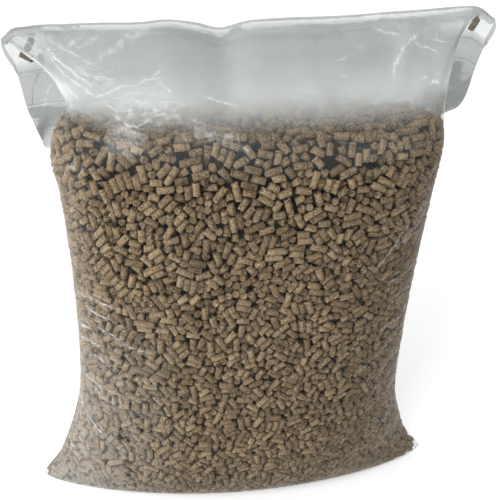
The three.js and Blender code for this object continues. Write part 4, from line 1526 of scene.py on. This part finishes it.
@dataclass
class BagFilm:
    """The clear film, as one sheet that goes round the pellets, over the fold and down the flap.

    Lengths are in millimetres, and a pair of runs says where something starts and is full. Runs are
    counted from the fold where a name ends in span.

    Attributes:
        columns: Corners on each half of a ring.
        seam_steps: Places of the rings at each seal line, from its middle.
        cling_limit: How far the film sinks in between pellets at most.
        cling_gap: Distance that it keeps from a pellet.
        cling_slope: How much deeper a corner may sink than the next one.
        cling_above: How far above the middle of the heap's top film is compared with pellets.
        cling_foot: Runs from the bottom where the clinging starts.
        cling_end: Distances past the shoulder where it ends.
        axis_steps: Places along a pellet that stand for it.
        lined_past: How far past the fold the lines show on both sheets.
        creases: The pressed folds of the empty top: from and to, each as shares of the fold's width
            and of the headspace, then the reach and the depth.
        crease_depth: Share of that depth that is used.
        crease_crumple: How crumpled the film is on a pressed fold.
        loose_past: Distances past the shoulder where the film's waves start.
        top_waves: Waves of the loose top.
        back_shift: How much the back sheet's waves are shifted, in radians.
        flap_span: Where the flap's waves start.
        flap_waves: Waves of the flap.
        lip_waves: Waves of the cuff below the seal lines.
        crest_span: Where the film is crumpled below the fold.
        crest_crumple: How crumpled it is there.
        flap_crumple: How crumpled the flap is.
        cuff_crumple: How crumpled the cuff is at the lip.
        seam_half: Half the width of a seal line.
        seam_rise: How far a seal line stands out.
        seam_crumple: How crumpled it is.
    """

    form: BagForm
    placement: Placement
    finish: FilmFinish
    lines: FilmLines = field(default_factory=FilmLines)
    tones: FilmTones = field(default_factory=FilmTones)
    columns: int = 156
    seam_steps: Tuple[float, ...] = (-1.5, -0.9, -0.45, 0.0, 0.45, 0.9, 1.5)
    cling_limit: float = 1.7
    cling_gap: float = 0.3
    cling_slope: float = 0.5
    cling_above: float = 20.0
    cling_foot: Span = (2.0, 14.0)
    cling_end: Span = (-8.0, 20.0)
    axis_steps: int = 7
    lined_past: float = 20.0
    creases: Tuple[Tuple[float, ...], ...] = (
        (-0.87, 0.99, -0.53, 0.71, 9, 4), (-0.81, 0.86, -0.74, 0.35, 8, -4),
        (-0.84, 0.95, -0.42, 0.61, 7, -4), (-0.61, 0.68, -0.33, 0.44, 9, 5),
        (-0.59, 0.56, -0.38, 0.38, 7, -5), (-0.25, 0.48, -0.01, 0.14, 12, -4),
        (-0.13, 1, -0.09, 0.63, 12, 4), (0.19, 0.89, 0.29, 0.44, 10, -3),
        (0.49, 0.94, 0.62, 0.81, 8, 4), (0.66, 0.91, 0.56, 0.63, 7, -4),
        (0.76, 0.81, 0.7, 0.44, 8, 4))
    crease_depth: float = 0.6
    crease_crumple: float = 0.3
    loose_past: Span = (15.0, 45.0)
    top_waves: Tuple[Wave, ...] = (Wave(0.275, 23, 31), Wave(0.2, 13, -17))
    back_shift: float = 2.1
    flap_span: Span = (8.0, 40.0)
    flap_waves: Tuple[Wave, ...] = (Wave(0.9, 19, 27), Wave(0.7, 31, -12))
    lip_waves: Tuple[Wave, ...] = (Wave(1.5, 8.5, start=1.0), Wave(1.0, 5.3, 9))
    crest_span: Span = (-22.0, -4.0)
    crest_crumple: float = 0.35
    flap_crumple: float = 0.12
    cuff_crumple: float = 0.5
    seam_half: float = 0.6
    seam_rise: float = 0.45
    seam_crumple: float = 0.6
    piece: Optional[bpy.types.Object] = None

    def build(self, fill: PelletFill) -> None:
        """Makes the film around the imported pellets."""
        runs = self._runs()
        rows, count = len(runs), 2 * self.columns
        angle = math.pi * np.arange(self.columns) / self.columns
        across = np.concatenate([np.cos(angle), -np.cos(angle)])
        run = np.repeat(runs, count)
        share = np.tile(across, rows)
        is_front = np.tile(np.arange(count) < self.columns, rows)
        places = np.empty((rows * count, 3))
        crumple = np.zeros(rows * count)
        creases = np.zeros((self.finish.channels, rows * count, 3))
        for side, chosen in ((Side.FRONT, is_front), (Side.BACK, ~is_front)):
            places[chosen], crumple[chosen] = self._sheet(run[chosen], share[chosen], side)
        lined = is_front | (run > self.form.fold + self.lined_past)
        creases[:, lined] = self.lines.measure(*self.form.on_sheet(run[lined], share[lined]), len(creases))
        grid = places.reshape(rows, count, 3)
        outward = self._normals(grid)
        pull, gap = self._cling(grid, runs, fill)
        grid = grid - outward * pull[..., None]
        grid[0, :, 2] = 0.0
        grid[1:, :, 2] = np.maximum(grid[1:, :, 2], 0.05)
        loops, counts = self._faces(rows, count)
        placed = self.placement.metres(grid.reshape(-1, 3))
        self.piece = MeshMaker.build("film", placed, loops, counts)
        MeshMaker.attribute(self.piece, "crumple", np.clip(crumple, 0, 1))
        for name, values in self.tones.measure(self.form, run, share, is_front, gap.ravel()):
            MeshMaker.attribute(self.piece, name, values)
        for number, values in enumerate(creases, 1):
            MeshMaker.attribute(self.piece, f"creases_{number}", values)
        MeshMaker.smooth(self.piece)
        self.piece.data.materials.append(self.finish.build())
        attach(self.piece, "root")
        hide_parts("bag_film")
        LOG.info("film: %d faces", len(counts))

    def _pressed(self) -> Tuple[Crease, ...]:
        """Returns the folds of the empty top, from their shares of the fold's width and the headspace."""
        wide, low, high = self.form.fold_left, self.form.shoulder, self.form.headspace
        return tuple(Crease((x * wide, low + up * high), (to_x * wide, low + to_up * high), reach,
                            depth * self.crease_depth)
                     for x, up, to_x, to_up, reach, depth in self.creases)

    def _runs(self) -> np.ndarray:
        """Returns the runs of the rows, closer together in the creased top."""
        form = self.form
        seals = [form.fold + drop + step for drop in (form.seal_1_drop, form.seal_2_drop)
                 for step in self.seam_steps]
        stretches = ((0, 4, 3), (6, form.shoulder - 2, 148), (form.shoulder + 0.5, form.fold + 9, 62),
                     (form.fold + 11, form.fold + form.lip_drop, 58))
        parts = [np.linspace(start, stop, count) for start, stop, count in stretches]
        parts.append(np.array(seals))
        return np.unique(np.round(np.concatenate(parts), 3))

    def _sheet(self, run: np.ndarray, across: np.ndarray, side: Side) -> Tuple[np.ndarray, np.ndarray]:
        """Works out one sheet before it clings to the pellets.

        Args:
            run: Run of each corner.
            across: Its share of the way from the middle to the edge.
            side: The sheet.

        Returns:
            The corners' places and how crumpled the film is there.
        """
        form = self.form
        x, carrier = form.on_sheet(run, across)
        press = np.zeros(len(run))
        crumple = np.zeros(len(run))
        if side is Side.FRONT:
            for crease in self._pressed():
                depth = crease.press(x, carrier)
                press += depth
                crumple += self.crease_crumple * np.abs(depth) / abs(crease.depth)
        loose = smoothstep(carrier, form.shoulder + self.loose_past[0], form.shoulder + self.loose_past[1])
        flap = form.past_fold(run, self.flap_span)
        cuff = form.past_fold(run, (form.seal_2_drop, form.lip_drop))
        crumple += self.crest_crumple * form.past_fold(carrier, self.crest_span) * (1 - flap)
        crumple += self.cuff_crumple * cuff + self.flap_crumple * flap
        shift = 0.0 if side is Side.FRONT else self.back_shift
        press += loose * (1 - flap) * ripple(self.top_waves, x, carrier, shift)
        places = form.points(run, across, side, press=press)
        lip = form.past_fold(run, (form.seal_2_drop + 4, form.lip_drop))
        sway = flap * ripple(self.flap_waves, x, run) + lip * ripple(self.lip_waves, x, run)
        lean = math.radians(form.flap_lean)
        seam = form.seams(run, self.seam_half)
        places[:, 1] -= sway * math.cos(lean)
        places[:, 2] += sway * math.sin(lean) * 0.5
        places[:, 1] -= side.value * self.seam_rise * seam
        return places, crumple + self.seam_crumple * seam

    @staticmethod
    def _normals(grid: np.ndarray) -> np.ndarray:
        """Returns the outward direction at each corner of the grid."""
        along = np.gradient(grid, axis=0)
        around = (np.roll(grid, -1, 1) - np.roll(grid, 1, 1)) / 2
        outward = np.cross(along, around)
        return outward / np.maximum(np.linalg.norm(outward, axis=2), 1e-6)[..., None]

    def _cling(self, grid: np.ndarray, runs: np.ndarray,
               fill: PelletFill) -> Tuple[np.ndarray, np.ndarray]:
        """Works out how far the film sinks in between the pellets.

        Args:
            grid: Places of the film's corners, by row and column.
            runs: The run of each row.
            fill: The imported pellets.

        Returns:
            How far each corner moves in, and how far it was from the pellets.
        """
        steps = fill.halves[:, None] * np.linspace(-1, 1, self.axis_steps)
        axis_places = (fill.centres[:, None] + fill.axes[:, None] * steps[..., None]).reshape(-1, 3)
        tree = kdtree.KDTree(len(axis_places))
        for number, place in enumerate(axis_places):
            tree.insert(place, number)
        tree.balance()
        gap = np.full(grid.shape[:2], 9.0)
        for row in np.flatnonzero(runs < self.form.heap + self.cling_above):
            gap[row] = [tree.find(place)[2] for place in grid[row]]
        gap = gap - fill.sizes.radius
        room = np.clip(gap - self.cling_gap, 0, self.cling_limit)
        low = room.copy()
        beside = ((1, 0), (-1, 0), (1, 1), (-1, 1))
        for shift, axis in beside:
            low = np.minimum(low, np.roll(room, shift, axis) + self.cling_slope)
        for _ in range(2):
            low = (2 * low + sum(np.roll(low, shift, axis) for shift, axis in beside)) / 6
        shoulder = self.form.shoulder
        free = 1 - smoothstep(runs, shoulder + self.cling_end[0], shoulder + self.cling_end[1])
        return low * (free * smoothstep(runs, *self.cling_foot))[:, None], gap

    @staticmethod
    def _faces(rows: int, count: int) -> Tuple[np.ndarray, np.ndarray]:
        """Works out the faces of the grid and of the strip that closes the bottom.

        Args:
            rows: Number of rings.
            count: Corners of each ring.

        Returns:
            The faces' corners, and how many each face has.
        """
        quads = MeshMaker.ring_faces(rows, count)
        half = count // 2
        j = np.arange(1, half - 1)
        strip = np.stack([j, j + 1, count - j - 1, count - j], 1)
        ends = np.array([0, 1, count - 1, half - 1, half, half + 1])
        loops = np.concatenate([quads.ravel(), strip.ravel(), ends])
        counts = np.concatenate([np.full(len(quads) + len(strip), 4), [3, 3]])
        return loops, counts


@dataclass(frozen=True)
class Stray:
    """A pellet that is caught in the flap.

    Attributes:
        x: Distance to the right of the middle, in millimetres.
        drop: Run past the fold.
        turn: Its turn in the plane of the sheet, in degrees.
        length: Its length.
        seat: How much further from the front sheet it lies than the clearance.
    """

    x: float
    drop: float
    turn: float
    length: float
    seat: float = 0.4


@dataclass
class StrayPellets:
    """The few pellets that are caught between the two sheets of the flap."""

    form: BagForm
    placement: Placement
    finish: PelletFinish
    diameter: float = 6.0
    clearance: float = 0.45
    places: Tuple[Stray, ...] = (
        Stray(-190, 27, 65, 12), Stray(-194, 39.5, -35, 12, 0.55), Stray(-181, 44, 80, 7),
        Stray(212, 35, 75, 13, 0.5), Stray(-64, 14, -14, 11, 0.8), Stray(68, 37, 20, 13),
        Stray(85, 34, -50, 11))

    def build(self) -> None:
        """Makes the stray pellets."""
        material = self.finish.build()
        shape = PelletShape(sides=20, broken=True)
        for number, stray in enumerate(self.places, 1):
            centre, axis = self._pose(stray)
            random = np.random.default_rng(70 + number)
            places, loops, counts, strands, tone = shape.copies(
                centre[None], axis[None], np.array([stray.length]), self.diameter / 2, random)
            made = MeshMaker.build(f"loose_pellet_{number}", self.placement.metres(places), loops, counts)
            MeshMaker.attribute(made, "strand", strands)
            MeshMaker.attribute(made, "tone", tone)
            MeshMaker.smooth(made, counts == 4)
            made.data.materials.append(material)
            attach(made, "root")
            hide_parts(f"stray_pellet_{number}")
        LOG.info("stray pellets: %d", len(self.places))

    def _pose(self, stray: Stray) -> Tuple[np.ndarray, np.ndarray]:
        """Finds where a stray pellet lies in the flap's pocket.

        Args:
            stray: The pellet.

        Returns:
            Its middle and its direction.
        """
        run = np.array([self.form.fold + stray.drop])
        here = self.form.at(run)
        across = np.array([stray.x]) / (here[:, 4] if stray.x < 0 else here[:, 5])
        outer = self.form.points(run, across, Side.FRONT)[0]
        inward = self.form.points(run, across, Side.BACK)[0] - outer
        inward /= np.linalg.norm(inward)
        centre = outer + inward * (self.clearance + stray.seat + self.diameter / 2)
        sideways = np.array([1.0, 0, 0]) - inward[0] * inward
        sideways /= np.linalg.norm(sideways)
        turned = Matrix.Rotation(math.radians(stray.turn), 3, Vector(inward)) @ Vector(sideways)
        return centre, np.array(turned)


@dataclass(frozen=True)
class Lamp:
    """A soft square lamp: its place and width in metres and its power in watts."""

    name: str
    place: Tuple[float, float, float]
    width: float
    power: float


@dataclass
class Studio:
    """The camera, the floor and the lights.

    Attributes:
        eye: The camera's place in the bag's own axes, in millimetres.
        pitch: How far the camera looks down, in degrees.
        yaw: How far it looks to the right.
        roll: How far it is turned about its line of sight.
        focal_pixels: Its focal length in pixels of the photo.
        sensor: Width of its sensor in millimetres.
        world_level: Light from all round, where the background that is seen is at 1.
        floor_color: Color of the floor.
        floor_glow: How much the floor glows where it is seen.
        floor_reach: Half the floor's width in metres.
        aim: Where the lamps point, in metres.
        lamps: The lamps.
    """

    placement: Placement
    eye: Tuple[float, float, float] = (-119.6, -720.0, 835.4)
    pitch: float = 36.35
    yaw: float = 9.7
    roll: float = 3.28
    focal_pixels: float = 950.0
    sensor: float = 36.0
    world_level: float = 0.30
    floor_color: Color = (0.80, 0.80, 0.80, 1.0)
    floor_glow: float = 0.45
    floor_reach: float = 5.0
    aim: Tuple[float, float, float] = (0.0, 0.0, 0.25)
    lamps: Tuple[Lamp, ...] = (
        Lamp("key", (-1.1, -1.5, 2.4), 0.9, 38.0), Lamp("side", (-2.1, -0.7, 0.45), 0.7, 33.0),
        Lamp("fill", (1.7, -1.7, 1.5), 1.5, 10.0), Lamp("rim", (0.3, 1.8, 1.9), 1.4, 20.0))

    def build(self) -> None:
        """Sets the view, the camera, the floor and the lights."""
        bpy.context.scene.view_settings.view_transform = "Standard"
        self._camera()
        self._world()
        self._floor()
        for lamp in self.lamps:
            self._light(lamp)

    def _camera(self) -> None:
        """Puts the camera where the photograph was taken."""
        pitch, yaw, roll = (math.radians(value) for value in (self.pitch, self.yaw, self.roll))
        level = math.cos(pitch)
        forward = Vector((math.sin(yaw) * level, math.cos(yaw) * level, -math.sin(pitch)))
        right = Vector((math.cos(yaw), -math.sin(yaw), 0.0))
        upward = right.cross(forward)
        across = right * math.cos(roll) + upward * math.sin(roll)
        above = across.cross(forward)
        data = bpy.data.cameras.new("camera")
        data.lens = self.focal_pixels * self.sensor / PHOTO_WIDTH
        data.sensor_width = self.sensor
        data.clip_start = 0.05
        camera = bpy.data.objects.new("camera", data)
        place = Vector(self.placement.metres(np.array([self.eye]))[0])
        turn = Matrix((across, above, -forward)).transposed()
        camera.matrix_world = Matrix.Translation(place) @ turn.to_4x4()
        bpy.context.scene.collection.objects.link(camera)
        bpy.context.scene.camera = camera

    @staticmethod
    def _direct(graph: Graph) -> bpy.types.NodeSocket:
        """Returns 1 for rays that show the background, straight or in a reflection."""
        path = graph.add("LightPath").outputs
        seen = graph.math("MAXIMUM", path["Is Camera Ray"], path["Is Glossy Ray"])
        return graph.math("MAXIMUM", seen, path["Is Transmission Ray"])

    def _world(self) -> None:
        """Makes the background white and the light from all round soft."""
        world = bpy.data.worlds.new("studio")
        bpy.context.scene.world = world
        world.use_nodes = True
        graph = Graph(world.node_tree)
        back = world.node_tree.nodes["Background"]
        back.inputs["Color"].default_value = WHITE
        strength = graph.math("MULTIPLY_ADD", self._direct(graph), 1.0 - self.world_level, self.world_level)
        world.node_tree.links.new(strength, back.inputs["Strength"])

    def _floor(self) -> None:
        """Makes the pale floor."""
        square = np.array([[-1, -1, 0], [1, -1, 0], [1, 1, 0], [-1, 1, 0]]) * self.floor_reach
        places = square - np.array([0, 0, 0.2 * MM])
        floor = MeshMaker.build("floor", places, np.arange(4), np.array([4]))
        material = bpy.data.materials.new("pale_floor")
        material.use_nodes = True
        graph = Graph(material.node_tree)
        surface = material.node_tree.nodes["Principled BSDF"]
        surface.inputs["Base Color"].default_value = self.floor_color
        surface.inputs["Roughness"].default_value = 0.9
        surface.inputs["Emission Color"].default_value = WHITE
        glow = graph.math("MULTIPLY", self._direct(graph), self.floor_glow)
        material.node_tree.links.new(glow, surface.inputs["Emission Strength"])
        floor.data.materials.append(material)

    def _light(self, lamp: Lamp) -> None:
        """Adds a lamp that shines at the bag."""
        data = bpy.data.lights.new(lamp.name, "AREA")
        data.shape = "SQUARE"
        data.size = lamp.width
        data.energy = lamp.power
        made = bpy.data.objects.new(lamp.name, data)
        made.location = lamp.place
        made.rotation_euler = (Vector(self.aim) - Vector(lamp.place)).to_track_quat("-Z", "Y").to_euler()
        bpy.context.scene.collection.objects.link(made)


def corners(box: Tuple[Vector, Vector]) -> List[List[float]]:
    """Returns a box's lowest and highest corners as plain lists."""
    return [list(corner) for corner in box]


def main() -> None:
    """Builds the bag piece by piece."""
    logging.basicConfig(level=logging.INFO, format="%(name)s: %(message)s")
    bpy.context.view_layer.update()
    form = BagForm()
    placement = Placement(form)
    Studio(placement).build()
    dark = (0.128, 0.08, 0.04, 1.0)
    wood = PelletFinish("pellet_wood", (0.46, 0.334, 0.202, 1.0), dark)
    # The core is painted nearly black, a painted shade for the pellets hidden inside the heap.
    shade_core_wood = PelletFinish("pellet_core_painted_shade", (0.05, 0.035, 0.022, 1.0), (0.02, 0.014, 0.01, 1.0))
    stray_wood = PelletFinish("stray_pellet_wood", (0.36, 0.27, 0.18, 1.0), dark)
    heap = Heap(form, placement, wood, shade_core_wood)
    heap.build()
    StrayPellets(form, placement, stray_wood).build()
    film = BagFilm(form, placement, FilmFinish())
    film.build(heap.fill)
    bpy.context.view_layer.update()


if __name__ == "__main__":
    main()
